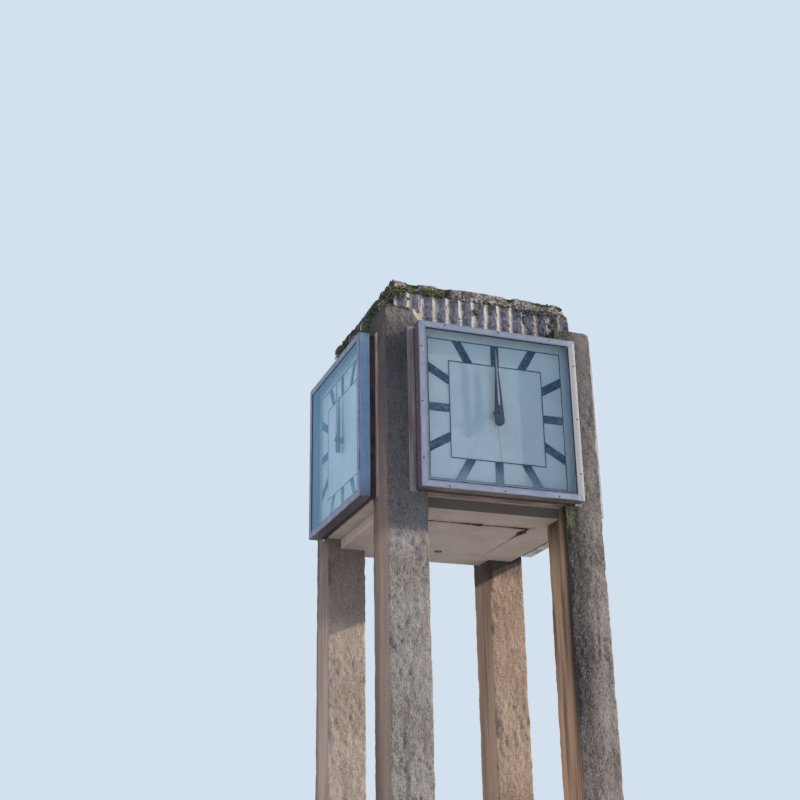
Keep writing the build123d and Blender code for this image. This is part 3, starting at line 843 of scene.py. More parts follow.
def moss_mat():
    """The domes of every mossy place: cap edges, ledges, the -X side and one ball among the flutes."""
    places, out, sizes = [], [], []

    def grow(side, count, x, y, z, radius, seed, rim=None):
        """Scatters domes in a box given as on the front. Beyond rim they shift back onto the break."""
        spots, size = scatter(count, x, y, z, radius, seed)
        if rim:
            past = (spots[:, 0] - rim[0]) * math.sin(rim[2]) + (pier_top - rim[1]) * math.cos(rim[2])
            spots[:, 1] += np.clip(BREAK_SLOPE * past, 0, None)
        places.append(turned(spots, side))
        out.append(turned(np.tile([0.0, -1.0, CUSHION_LEAN], (len(spots), 1)), side))
        sizes.append(size)

    face = -attic_face
    low = CAP_LOW.z
    # under the cap's front edge, thickest left of the middle
    grow("front", 150, (-0.60, -0.34), (face - 0.004, face + 0.014), (low + 0.010, low + 0.060),
         (0.010, 0.026), 1)
    grow("front", 70, (-0.84, -0.60), (face, face + 0.010), (low, low + 0.050), (0.008, 0.022), 2)
    grow("front", 80, (0.02, 0.36), (face, face + 0.010), (low + 0.002, low + 0.030), (0.008, 0.018), 3)
    grow("front", 60, (0.34, 0.50), (face - 0.002, face + 0.012), (low + 0.008, low + 0.045), (0.009, 0.020),
         4)
    # two flutes in which it hangs down
    grow("front", 22, (0.37, 0.41), (face + 0.004, face + 0.012), (low - 0.13, low), (0.008, 0.015), 5)
    grow("front", 14, (0.60, 0.68), (face + 0.004, face + 0.012), (low - 0.13, low - 0.10), (0.008, 0.015), 6)
    # the broken ledge on the front left pier, and the heads of the outer flutes
    grow("front", 90, (-0.95, -0.60), (-pier_face + 0.004, -pier_face + 0.020),
         (pier_top - 0.012, pier_top + 0.002), (0.009, 0.018), 7, rim=TOP_BREAKS["front_left"][0])
    grow("front", 60, (-0.84, -0.60), (face, face + 0.008), (low - 0.06, low + 0.010), (0.008, 0.020), 14)
    grow("front", 60, (0.20, 0.70), (face, face + 0.008), (low - 0.03, low + 0.012), (0.008, 0.018), 15)
    # the -X side: all over the attic, on both pier ledges and round the cap's edge
    grow("left", 2200, (-0.80, 0.86), (face - 0.001, face + 0.012), (pier_top, low + 0.10), (0.009, 0.021), 8)
    grow("left", 200, (-0.93, -0.62), (-pier_face + 0.01, face), (pier_top - 0.004, pier_top + 0.03),
         (0.012, 0.026), 9)
    grow("left", 200, (0.62, 0.93), (-pier_face + 0.01, face), (pier_top - 0.004, pier_top + 0.03),
         (0.012, 0.026), 10)
    grow("left", 420, (-0.78, 0.84), (face - 0.012, face), (low + 0.03, low + 0.10), (0.010, 0.022), 11)
    # a little on the rear and right sides
    grow("rear", 120, (-0.80, 0.80), (face - 0.002, face + 0.012), (low - 0.02, low + 0.06), (0.010, 0.030),
         12)
    grow("right", 50, (-0.80, 0.80), (face + 0.014, face + 0.03), (low, low + 0.05), (0.008, 0.020), 13)
    # one ball between two flutes, left of the middle
    places.append(np.array([[-0.073, face + 0.006, 6.307], [-0.066, face - 0.004, 6.300],
                            [-0.078, face, 6.318]]))
    out.append(np.tile([0.2, -1.0, 0.2], (3, 1)))
    sizes.append(np.array([0.030, 0.024, 0.022]))
    # low cushions on top of the cap
    top, size = scatter(420, (-0.82, 0.82), (-0.82, 0.82), (CAP_HIGH.z - 0.012, CAP_HIGH.z - 0.010),
                        (0.012, 0.036), 20)
    places.append(top)
    out.append(np.tile([0.0, 0.0, 1.0], (len(top), 1)))
    sizes.append(size)
    return domes("moss_cushions", np.concatenate(places), np.concatenate(out), np.concatenate(sizes), 0.36,
                 moss_green())


moss_mat()

# %% [markdown]
# ## Steel, paint and glass
#
# The casings are painted sheet steel, blue-grey where the paint still holds, the blue partly a
# painted reflection of the sky, and rust brown underneath and on the side that faces -X; they carry
# a painted shade inside and a painted highlight on the right casing's front side. The bezel bars are
# pale grey, with painted shade along their inner edges and on the bars facing -X, and a painted
# highlight on the front's right bar. The dial is opal glass, which is white glass with a faint blue,
# behind a clear pane, and the front dial carries a painted reflection towards its lower left.

# %% Metal and glass finishes


def square_reach(tree, at):
    """How far from its middle a place on a clock lies: the greater of its sideways and upright distance."""
    wide = add(tree, "Math", None, {0: at["X"]}, operation="ABSOLUTE").outputs[0]
    deep = add(tree, "Math", None, {0: at["Y"]}, operation="ABSOLUTE").outputs[0]
    tall = add(tree, "Math", {1: dial_centre}, {0: at["Z"]}, operation="SUBTRACT").outputs[0]
    tall = add(tree, "Math", None, {0: tall}, operation="ABSOLUTE").outputs[0]
    level = add(tree, "Math", None, {0: wide, 1: deep}, operation="MINIMUM").outputs[0]
    return add(tree, "Math", None, {0: level, 1: tall}, operation="MAXIMUM").outputs[0]


def casing_paint():
    """Alkyd paint on sheet steel: semi-gloss and worn, bleached on top, rusty below and on the -X side, its
    blue partly a painted sky reflection, with a painted shade inside and a painted highlight on the right
    casing's front side.
    """
    material, tree, place, at, facing = blank("casing_paint")
    # worn patches 167 mm broad, chips of 18 mm and rain runs 38 mm apart
    wear = add(tree, "TexNoise", {"Scale": per_mm(167), "Detail": 6.0, "Roughness": 0.65},
               {"Vector": place}).outputs[0]
    fleck = add(tree, "TexNoise", {"Scale": per_mm(18), "Detail": 3.0, "Roughness": 0.6},
                {"Vector": place}).outputs[0]
    drawn = add(tree, "Mapping", {"Scale": per_mm(38.5, 38.5, 714)}, {"Vector": place}).outputs[0]
    runs = add(tree, "TexNoise", {"Scale": 1.0, "Detail": 4.0, "Roughness": 0.6},
               {"Vector": drawn}).outputs[0]
    reach = square_reach(tree, at)
    top, foot = CASING_HIGH.z, CASING_LOW.z
    # a blue base, partly a painted reflection of the sky; pale rain runs, a bleached top, chips, and rust
    # along the foot
    colour = coat(tree, "86aed6", "a8cae4", (wear, 0.35, 0.70))
    colour = coat(tree, colour, "c0cddd", (runs, 0.54, 0.66), share=0.6)
    colour = coat(tree, colour, "d3dde8", (at["Z"], top - 0.20, top), (wear, 0.36, 0.56), share=0.8)
    colour = coat(tree, colour, "6a5a5c", (fleck, 0.63, 0.70), share=0.8)
    colour = coat(tree, colour, "6a4a44", (at["Z"], foot + 0.16, foot), (wear, 0.35, 0.60))
    # painted highlight: the right casing's side that faces the front is pale where the sun strikes it
    colour = coat(tree, colour, "e4eaf0", (at["X"], 0.98, 1.0), (facing["Y"], -0.5, -0.8), share=0.8)
    # the front casing's side towards -X has lost its paint
    red = coat(tree, "574c55", "7c6d72", (fleck, 0.40, 0.62))
    colour = coat(tree, colour, red, (facing["X"], -0.5, -0.8), (at["Y"], -0.9, -1.0))
    # undersides: brown with fresh rust in patches, pale on the right casing and dark on the left
    brown = coat(tree, "665c54", "8a7d73", (wear, 0.40, 0.60))
    brown = coat(tree, brown, "c58f62", (wear, 0.57, 0.64), share=0.8)
    brown = coat(tree, brown, "e6e1da", (at["X"], 0.97, 0.99), (wear, 0.62, 0.50), share=0.8)
    brown = coat(tree, brown, "4c4149", (at["X"], -0.90, -0.98), share=0.75)
    colour = coat(tree, colour, brown, (facing["Z"], -0.5, -0.8))
    # painted shade: behind its front edge the casing's inside is dark blue, as little light reaches it
    inside = coat(tree, "3f5870", "7790a6", (runs, 0.42, 0.60))
    colour = coat(tree, colour, inside, (reach, casing_half - 0.0005, casing_half - 0.003))
    bump = add(tree, "Bump", {"Strength": 0.25, "Distance": 0.001}, {"Height": fleck})
    gloss = add(tree, "MapRange", {"From Min": 0.3, "From Max": 0.7, "To Min": 0.30, "To Max": 0.5},
                {"Value": wear})
    shader = add(tree, "BsdfPrincipled", {"IOR": 1.5},
                 {"Base Color": colour, "Normal": bump.outputs[0], "Roughness": gloss.outputs[0]})
    add(tree, "OutputMaterial", None, {0: shader.outputs[0]})
    return material


def bezel_paint():
    """Pale grey paint on flat steel bar: satin and chalky, with bands of grime and rust from its edges,
    painted shade along its inner edge and on the bars that face -X, and a painted highlight on the front's
    right bar.
    """
    material, tree, place, at, facing = blank("bezel_paint")
    # chalky patches 143 mm broad, and chips of 5 mm drawn at 17 mm so that they show
    wear = add(tree, "TexNoise", {"Scale": per_mm(143), "Detail": 6.0, "Roughness": 0.65},
               {"Vector": place}).outputs[0]
    fleck = add(tree, "TexNoise", {"Scale": per_mm(16.7), "Detail": 4.0, "Roughness": 0.7},
                {"Vector": place}).outputs[0]
    reach = square_reach(tree, at)
    frontal = (facing["Y"], -0.5, -0.8)
    colour = coat(tree, "93a3bc", "b2bdcd", (wear, 0.36, 0.64))
    colour = coat(tree, colour, "c9bfc0", (fleck, 0.52, 0.60), share=0.35)
    # grime near the pane with painted shade, a dark line along the bars' inner edge, partly painted shade,
    # and rust along the outer one
    colour = coat(tree, colour, "5d5c64", (reach, bar_inner + 0.020, bar_inner), (wear, 0.25, 0.60),
                  share=0.70)
    colour = coat(tree, colour, "2c2f37", (reach, bar_inner + 0.0038, bar_inner + 0.0022), share=0.9)
    colour = coat(tree, colour, "5d443d", (reach, casing_half - 0.010, casing_half - 0.002),
                  (wear, 0.40, 0.60), share=0.85)
    # the front's right bar is paler, and a painted highlight lies on its outer half, where the sun strikes
    # its edge
    colour = coat(tree, colour, "c9cac8", (at["X"], bar_inner - 0.002, bar_inner + 0.002), frontal, share=0.9)
    colour = coat(tree, colour, "f1e8dc", (at["X"], casing_half - 0.026, casing_half - 0.010), frontal,
                  share=0.85)
    # painted shade: the bars that face -X, turned from the key light, are greyed blue
    colour = coat(tree, colour, "5c7090", (facing["X"], -0.5, -0.8), (wear, 0.20, 0.60), share=0.9)
    colour = coat(tree, colour, "6d4d43", (fleck, 0.61, 0.68), share=0.9)
    colour = coat(tree, colour, "d8d4d4", (fleck, 0.40, 0.32), share=0.45)
    bump = add(tree, "Bump", {"Strength": 0.3, "Distance": 0.0008}, {"Height": fleck})
    shader = add(tree, "BsdfPrincipled", {"IOR": 1.5, "Roughness": 0.42},
                 {"Base Color": colour, "Normal": bump.outputs[0]})
    add(tree, "OutputMaterial", None, {0: shader.outputs[0]})
    return material


def rusty_paint(name, dark, light, bloom_colour, bloom_share, grain=(62.5, 62.5, 62.5)):
    """Mild steel long out of paint: two browns in fine scale and a bloom of fresher rust in patches.

    grain is the size of the scale in mm along X, Y and Z, and the bloom's patches are 200 mm broad.
    """
    material, tree, place, at, facing = blank(name)
    drawn = add(tree, "Mapping", {"Scale": per_mm(*grain)}, {"Vector": place}).outputs[0]
    scale = add(tree, "TexNoise", {"Scale": 1.0, "Detail": 6.0, "Roughness": 0.7},
                {"Vector": drawn}).outputs[0]
    bloom = add(tree, "TexNoise", {"Scale": per_mm(200), "Detail": 4.0, "Roughness": 0.6},
                {"Vector": place}).outputs[0]
    colour = coat(tree, dark, light, (scale, 0.36, 0.64))
    colour = coat(tree, colour, bloom_colour, (bloom, 0.50, 0.64), share=bloom_share)
    bump = add(tree, "Bump", {"Strength": 0.6, "Distance": 0.002}, {"Height": scale})
    shader = add(tree, "BsdfPrincipled", {"Roughness": 0.8},
                 {"Base Color": colour, "Normal": bump.outputs[0]})
    add(tree, "OutputMaterial", None, {0: shader.outputs[0]})
    return material


def soffit_paint():
    """Cream masonry paint, dusty, with rust bleeding from the hatch's joint, brown on the front lip, and
    brown on the strip under the front casing, partly as painted shade.

    A hair joint runs on from the hatch's front and rear edges to the piers, where the boards
    of the margin meet.
    """
    material, tree, place, at, facing = blank("soffit_paint")
    # dust in clouds 333 mm broad, and rust stains that break up at 45 mm
    dust = add(tree, "TexNoise", {"Scale": per_mm(333), "Detail": 6.0, "Roughness": 0.6},
               {"Vector": place}).outputs[0]
    fine = add(tree, "TexNoise", {"Scale": per_mm(45), "Detail": 4.0, "Roughness": 0.6},
               {"Vector": place}).outputs[0]
    across = add(tree, "Math", None, {0: at["X"]}, operation="ABSOLUTE").outputs[0]
    along = add(tree, "Math", None, {0: at["Y"]}, operation="ABSOLUTE").outputs[0]
    square = add(tree, "Math", None, {0: across, 1: along}, operation="MAXIMUM").outputs[0]
    from_joint = add(tree, "Math", {1: hatch_joint}, {0: square}, operation="SUBTRACT").outputs[0]
    from_joint = add(tree, "Math", None, {0: from_joint}, operation="ABSOLUTE").outputs[0]
    from_line = add(tree, "Math", {1: hatch_joint}, {0: along}, operation="SUBTRACT").outputs[0]
    from_line = add(tree, "Math", None, {0: from_line}, operation="ABSOLUTE").outputs[0]
    # cream in two tones with brown clouds, a little darker outside the hatch
    colour = coat(tree, "cabbad", "ddd0c2", (dust, 0.36, 0.66))
    colour = coat(tree, colour, "a68f79", (dust, 0.56, 0.70), share=0.5)
    colour = coat(tree, colour, "98816b", (square, 0.50, 0.86), share=0.15)
    # rust that has bled 90 mm from the joint, darkest in the joint itself, and the hair joint
    colour = coat(tree, colour, "8f6c52", (from_joint, 0.090, 0.0), (fine, 0.30, 0.56),
                  (at["Y"], -0.10, -0.46), share=0.6)
    colour = coat(tree, colour, "54342a", (from_joint, 0.020, 0.002), (fine, 0.38, 0.52),
                  (at["Y"], 0.60, -0.46))
    colour = coat(tree, colour, "6b5446", (from_line, 0.004, 0.002),
                  (across, hatch_joint, hatch_joint + 0.002), share=0.7)
    # the faces towards -Y, the front lip among them, are dark brown; the strip under the front casing is
    # brown, partly as painted shade
    colour = coat(tree, colour, "6b645c", (facing["Y"], -0.5, -0.8), share=0.9)
    colour = coat(tree, colour, "7b665b", (at["Y"], -0.885, -0.90), (dust, 0.30, 0.50), share=0.85)
    bump = add(tree, "Bump", {"Strength": 0.4, "Distance": 0.002}, {"Height": fine})
    shader = add(tree, "BsdfPrincipled", {"Roughness": 0.8},
                 {"Base Color": colour, "Normal": bump.outputs[0]})
    add(tree, "OutputMaterial", None, {0: shader.outputs[0]})
    return material


def opal_glass():
    """Opal sheet glass: milky and even, slightly blue, dusty towards its foot, with a polished face.

    On the front dial a painted reflection of the sky lies as a pale patch that thickens towards the
    lower left, and a hair crack runs down from the spindle.
    """
    material, tree, place, at, facing = blank("opal_glass")
    # the sheet clouds over 625 mm; specks of dust are too fine to show, so they are drawn as 33 mm clouds
    cloud = add(tree, "TexNoise", {"Scale": per_mm(625), "Detail": 3.0, "Roughness": 0.5},
                {"Vector": place}).outputs[0]
    dust = add(tree, "TexNoise", {"Scale": per_mm(33), "Detail": 4.0, "Roughness": 0.6},
               {"Vector": place}).outputs[0]
    colour = coat(tree, "cbdfe2", "d8e7e9", (cloud, 0.35, 0.65))
    colour = coat(tree, colour, "dce2e2", (at["Z"], dial_centre + 0.2, dial_centre - 0.7), (dust, 0.35, 0.7))
    front = facing["Y"], -0.5, -0.8
    # painted reflection: a pale patch from the middle to the lower left of the front dial
    pale_layer = (at["X"], 0.30, -0.60), (at["Z"], dial_centre + 0.50, dial_centre - 0.40)
    colour = coat(tree, colour, "e2f4fa", *pale_layer, front, share=0.95)
    lean = add(tree, "Math", {1: 0.05, 2: -0.05 * dial_centre}, {0: at["Z"]},
               operation="MULTIPLY_ADD").outputs[0]
    off = add(tree, "Math", None, {0: at["X"], 1: lean}, operation="ADD").outputs[0]
    off = add(tree, "Math", None, {0: off}, operation="ABSOLUTE").outputs[0]
    crack = (at["Z"], dial_centre - 0.03, dial_centre - 0.05), (at["Y"], -1.0, -1.01)
    colour = coat(tree, colour, "7795a8", (off, 0.006, 0.004), (off, 0.001, 0.003), *crack, share=0.7)
    milky = {"Roughness": 0.35, "IOR": 1.5, "Subsurface Weight": 1.0, "Subsurface Radius": (0.03, 0.03, 0.03),
             "Subsurface Scale": 1.0}
    shader = add(tree, "BsdfPrincipled", milky, {"Base Color": colour}, subsurface_method="BURLEY")
    add(tree, "OutputMaterial", None, {0: shader.outputs[0]})
    return material


def clear_pane():
    """Plain window glass: what lies behind shows through, and a share by Fresnel is mirrored.

    The mirror sits on the outer skin alone, a little stronger than one skin's, because the
    light isn't bent between the two skins here.
    """
    material, tree, place, at, facing = blank("clear_pane")
    # wiped and unwiped patches 455 mm broad
    haze = add(tree, "TexNoise", {"Scale": per_mm(455), "Detail": 5.0, "Roughness": 0.6},
               {"Vector": place}).outputs[0]
    through = add(tree, "BsdfTransparent", {"Color": (0.98, 0.99, 0.99, 1.0)})
    shine = add(tree, "BsdfGlossy", {"Color": srgb("a8d2ee"), "Roughness": 0.04})
    pale_layer = add(tree, "BsdfDiffuse", {"Color": srgb("b9c6cc")})
    outer = add(tree, "Math", {0: 1.0}, {1: add(tree, "NewGeometry").outputs["Backfacing"]},
                operation="SUBTRACT")
    mirror = add(tree, "Math", {1: 1.6}, {0: add(tree, "Fresnel", {"IOR": 1.45}).outputs[0]},
                 operation="MULTIPLY")
    mirror = add(tree, "Math", None, {0: mirror.outputs[0], 1: outer.outputs[0]}, operation="MULTIPLY")
    soiled = add(tree, "MapRange", {"From Min": 0.45, "From Max": 0.80, "To Max": 0.08}, {"Value": haze})
    dusty = add(tree, "MixShader", None, {0: soiled.outputs[0], 1: through.outputs[0], 2: pale_layer.outputs[0]})
    pane = add(tree, "MixShader", None, {0: mirror.outputs[0], 1: dusty.outputs[0], 2: shine.outputs[0]})
    add(tree, "OutputMaterial", None, {0: pane.outputs[0]})
    return material


def dial_paint():
    """Blue-black paint on the dial: patchy where it has worn, and almost gone at the dial's foot."""
    material, tree, place, at, facing = blank("dial_paint")
    # paint worn in spots of 29 mm, and more so over 200 mm
    worn = add(tree, "TexNoise", {"Scale": per_mm(29), "Detail": 4.0, "Roughness": 0.7},
               {"Vector": place}).outputs[0]
    broad = add(tree, "TexNoise", {"Scale": per_mm(200), "Detail": 3.0, "Roughness": 0.5},
                {"Vector": place}).outputs[0]
    colour = coat(tree, "0d2438", "2f5d7c", (worn, 0.42, 0.60))
    colour = coat(tree, colour, "8fa9b8", (worn, 0.60, 0.70), share=0.8)
    colour = coat(tree, colour, "b3c8d2", (at["Z"], dial_centre - 0.44, dial_centre - 0.60),
                  (broad, 0.25, 0.60), share=0.8)
    shader = add(tree, "BsdfPrincipled", {"Roughness": 0.6, "Specular IOR Level": 0.3},
                 {"Base Color": colour})
    add(tree, "OutputMaterial", None, {0: shader.outputs[0]})
    return material


def plain_finish(name, dark, light, patch, shine):
    """An even finish in two close tones that change over patches in mm. shine sets its other sockets."""
    material, tree, place, at, facing = blank(name)
    worn = add(tree, "TexNoise", {"Scale": per_mm(patch), "Detail": 3.0, "Roughness": 0.6},
               {"Vector": place}).outputs[0]
    shader = add(tree, "BsdfPrincipled", shine, {"Base Color": coat(tree, dark, light, (worn, 0.38, 0.64))})
    add(tree, "OutputMaterial", None, {0: shader.outputs[0]})
    return material


finishes = {
    "casing_metal": casing_paint(),
    "bezel_metal": bezel_paint(),
    "rusted_steel": rusty_paint("rusted_steel", "2c2a33", "4f4244", "71503f", 0.5),
    "strap_paint": rusty_paint("strap_paint", "8d7c7a", "cdc1bd", "a67e68", 0.5, (16.7, 16.7, 625)),
    "painted_soffit": soffit_paint(),
    "opal_glass": opal_glass(),
    "window_glass": clear_pane(),
    "dark_blue_paint": dial_paint(),
    "spindle_brass": plain_finish("tarnished_brass", "4b4030", "87734a", 17,
                                  {"Roughness": 0.45, "Metallic": 1.0}),
}
navy = plain_finish("navy_enamel", "0a1a2e", "1c3a58", 42, {"Roughness": 0.45, "Specular IOR Level": 0.35})


def lock_finish():
    """Dull pressed metal: pale in the middle, with a dark rolled rim and a keyhole."""
    material, tree, place, at, facing = blank("lock_metal")
    low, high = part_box("hatch_lock_plate")
    middle = tuple((low + high) / 2)
    away = add(tree, "VectorMath", {1: middle}, {0: place}, operation="DISTANCE").outputs["Value"]
    radius = (high.x - low.x) / 2
    colour = coat(tree, "8e8378", "2b2422", (away, 0.62 * radius, 0.70 * radius))
    colour = coat(tree, colour, "1d1a1a", (away, 0.22 * radius, 0.16 * radius))
    shader = add(tree, "BsdfPrincipled", {"Roughness": 0.6}, {"Base Color": colour})
    add(tree, "OutputMaterial", None, {0: shader.outputs[0]})
    return material


lock_metal = lock_finish()
print(len(finishes), "finishes")

# %% [markdown]
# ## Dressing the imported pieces
#
# Where the solid already has the right shape, it only needs its edges eased: nothing made
# of steel or board has razor-sharp edges, and the eased edge is what catches the light. A
# merged copy stands for the solid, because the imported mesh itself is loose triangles.

# %% Softened copies
WELD = 0.00002


def softened(name, material, width, segments=2, trim=None):
    """A copy of a CAD node with its flat faces joined up and a Bevel modifier on its sharp edges.

    trim may shift the copy's own points before the mesh is made.
    """
    work = bmesh.new()
    work.from_mesh(nodes[name].data)
    bmesh.ops.remove_doubles(work, verts=work.verts, dist=WELD)
    bmesh.ops.dissolve_limit(work, angle_limit=math.radians(1), verts=work.verts, edges=work.edges)
    places = [trim(*v.co) if trim else v.co[:] for v in work.verts]
    rings = [[v.index for v in face.verts] for face in work.faces]
    work.free()
    mesh = bpy.data.meshes.new(name + "_shape")
    mesh.from_pydata(places, [], rings)
    mesh.materials.append(material)
    made = bpy.data.objects.new(name + "_finished", mesh)
    bpy.context.scene.collection.objects.link(made)
    easing = made.modifiers.new("eased_edges", "BEVEL")
    easing.width = width
    easing.segments = segments
    easing.limit_method = "ANGLE"
    easing.angle_limit = math.radians(35)
    body = nodes[name]["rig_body"]
    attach(made, body)
    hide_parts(name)
    return made


SCREW_RISE = 0.0015


def set_back(x, y, z):
    """Brings the bezel's front face in by the height of a screw head."""
    limit = bezel_face - SCREW_RISE
    return (max(-limit, min(limit, x)), max(-limit, min(limit, y)), z)


for side in SIDES:
    softened(f"casing_{side}", finishes["casing_metal"], 0.0015)
    softened(f"bezel_{side}", finishes["bezel_metal"], 0.0018, trim=set_back)
    softened(f"hour_hand_{side}", navy, 0.0008)
    softened(f"minute_hand_{side}", navy, 0.0010)
    for name, slot in ((f"glass_{side}", "window_glass"), (f"dial_{side}", "opal_glass")):
        nodes[name].data.materials[0] = finishes[slot]
softened("soffit_boards", finishes["painted_soffit"], 0.004)
softened("access_hatch", finishes["painted_soffit"], 0.002)
softened("soffit_edge_strips", finishes["painted_soffit"], 0.002)
softened("casing_straps", finishes["strap_paint"], 0.0015)
softened("stand_off_bars", finishes["rusted_steel"], 0.001)
softened("hatch_lock_plate", lock_metal, 0.001)
for name, material in (
    ("dial_markers", finishes["dark_blue_paint"]),
    ("hand_spindles", finishes["spindle_brass"]),
    ("hatch_frame", finishes["rusted_steel"]),
    ("spandrel_beams", attic_concrete),
):
    nodes[name].data.materials[0] = material

# %% [markdown]
# The minute hand has a pressed ridge along its blade. Its crest is coloured pale as a painted
# highlight, where the sun catches it, which is what makes the hand legible against the sun. It is a
# thin three-cornered prism that rides on the hand.

# %% Ridge of the minute hand
HAND_LEAN = math.radians(-1.5)
RIDGE_FROM, RIDGE_TO, RIDGE_HALF, RIDGE_FOOT, RIDGE_CREST = 0.060, 0.562, 0.0092, 1.0829, 1.0892
RIDGE_TAPER = 0.7
# painted highlight: the ridge's crest is pale where the sun catches it
worn_crest = rusty_paint("worn_crest", "b4b0ac", "ece6de", "6a6f78", 0.4)


def ridge(side):
    """A thin prism: at each end two corners on the blade and the crest, turned to the hand's rest angle."""
    x = np.array([-RIDGE_HALF, 0.0, RIDGE_HALF])
    y = -np.array([RIDGE_FOOT, RIDGE_CREST, RIDGE_FOOT])
    ends = ((RIDGE_FROM, 1.0), (RIDGE_TO, RIDGE_TAPER))
    points = np.concatenate([np.stack([x * taper, y, np.full(3, along)], -1) for along, taper in ends])
    c, s = math.cos(HAND_LEAN), math.sin(HAND_LEAN)
    points = points @ np.array([[c, 0, -s], [0, 1, 0], [s, 0, c]]) + [0, 0, dial_centre]
    sides = [[0, 1, 4, 3], [1, 2, 5, 4], [2, 0, 3, 5]]
    return piece(f"minute_ridge_{side}", turned(points, side), [sides, [[2, 1, 0], [3, 4, 5]]], worn_crest,
                 body=f"minute_hand_{side}", smooth=False)


for side in SIDES:
    ridge(side)

# %% [markdown]
# ## Screws, sealant and scale
#
# The bezel bars are held by three domed screws each, and a bead of dark sealant closes the
# joint to the pane. Below, scale has burst from the steel behind the hatch's front edge:
# a ragged ribbon of rust, thickest in the middle. These are small, so each kind is one
# joined mesh built from a template and a list of places.

# %% Screws
SCREW_RADIUS = 0.0075
SCREW_FROM_EDGE = 0.020
SCREW_PLACES = (-0.488, 0.0, 0.488)
SCREW_SEGMENTS = 12
# the radius and rise of each ring of a head, as shares of the screw's
SCREW_PROFILE = np.array([[1.0, -1.0], [1.0, 0.25], [0.8, 0.7], [0.45, 0.95]])


def screws():
    """Domed heads with a rim: rings of a lathe profile, at three places on each of the sixteen bars."""
    around = np.arange(SCREW_SEGMENTS)
    turn = around * 2 * math.pi / SCREW_SEGMENTS
    radius, rise = (SCREW_PROFILE * [SCREW_RADIUS, SCREW_RISE]).T
    rings = np.stack([np.outer(radius, np.cos(turn)), np.outer(-rise, np.ones(SCREW_SEGMENTS)),
                      np.outer(radius, np.sin(turn))], -1).reshape(-1, 3)
    head = np.concatenate([rings, [[0, -SCREW_RISE, 0]]])
    belt = grid_quads(len(radius), SCREW_SEGMENTS, wrap=True)
    crown = fan((len(radius) - 1) * SCREW_SEGMENTS + around, len(rings))
    off = casing_half - SCREW_FROM_EDGE
    spots = [(p, q) for p in SCREW_PLACES for q in (-off, off)]
    spots += [(q, p) for p, q in spots]
    front = np.array([[x, -(bezel_face - SCREW_RISE), dial_centre + z] for x, z in spots])
    centres = np.concatenate([turned(front, side) for side in SIDES])
    heads = np.concatenate([np.tile(turned(head, side)[None], (len(front), 1, 1)) for side in SIDES])
    points = centres[:, None] + heads
    faces = repeated((belt, crown, around[None, ::-1]), len(centres), len(head))
    rust = rusty_paint("screw_rust", "2f2524", "4f3b35", "6b4636", 0.4)
    return piece("bezel_screws", points, faces, rust)


screws()

# %% Sealant
BEAD = 0.0075
BEAD_STEPS = 89
# the bead starts behind the bezel's face, is bedded into the pane's and ends in a blunt tip
BEAD_BEHIND = 0.0035
BEAD_BEDDING = 0.0002
BEAD_TIP = 0.001


def sealant():
    """A bead with a sloping face round the pane on every side, its width wandering by a third."""
    run = np.linspace(-bar_inner, bar_inner, BEAD_STEPS + 1)[:-1]
    corners = round_square(np.stack([run, np.full(BEAD_STEPS, -bar_inner)], -1))
    n = len(corners)
    rough_at = noise(np.concatenate([corners, np.zeros((n, 1))], -1), 0.05, 300)
    width = BEAD * (1 + 0.35 * rough_at)
    toward = -corners / np.abs(corners).max(axis=1, keepdims=True)
    toward = np.where(np.abs(np.abs(toward) - 1) < 1e-6, toward, 0.0)
    tip = corners + toward * width[:, None]
    glass = glass_face - BEAD_BEDDING
    section = ((corners, bezel_face - BEAD_BEHIND), (tip, glass + BEAD_TIP), (tip, glass), (corners, glass))
    rows = np.stack([np.stack([line[:, 0], np.full(n, -out), line[:, 1] + dial_centre], -1)
                     for line, out in section])
    here = np.arange(n)
    after = (here + 1) % n
    back = (len(section) - 1) * n
    close = np.stack([here + back, after + back, after, here], -1)
    material = plain_finish("sealant", "1c2028", "3f444d", 55, {"Roughness": 0.6})
    points = np.concatenate([turned(rows.reshape(-1, 3), side) for side in SIDES])
    faces = repeated((grid_quads(len(section), n, wrap=True), close), len(SIDES), len(section) * n)
    return piece("glazing_sealant", points, faces, material)


sealant()

# %% Rust scale
FRONT_STEPS, ARM_STEPS = 150, 60
ARM_END = -0.12
SCALE_LIFT = 0.0015


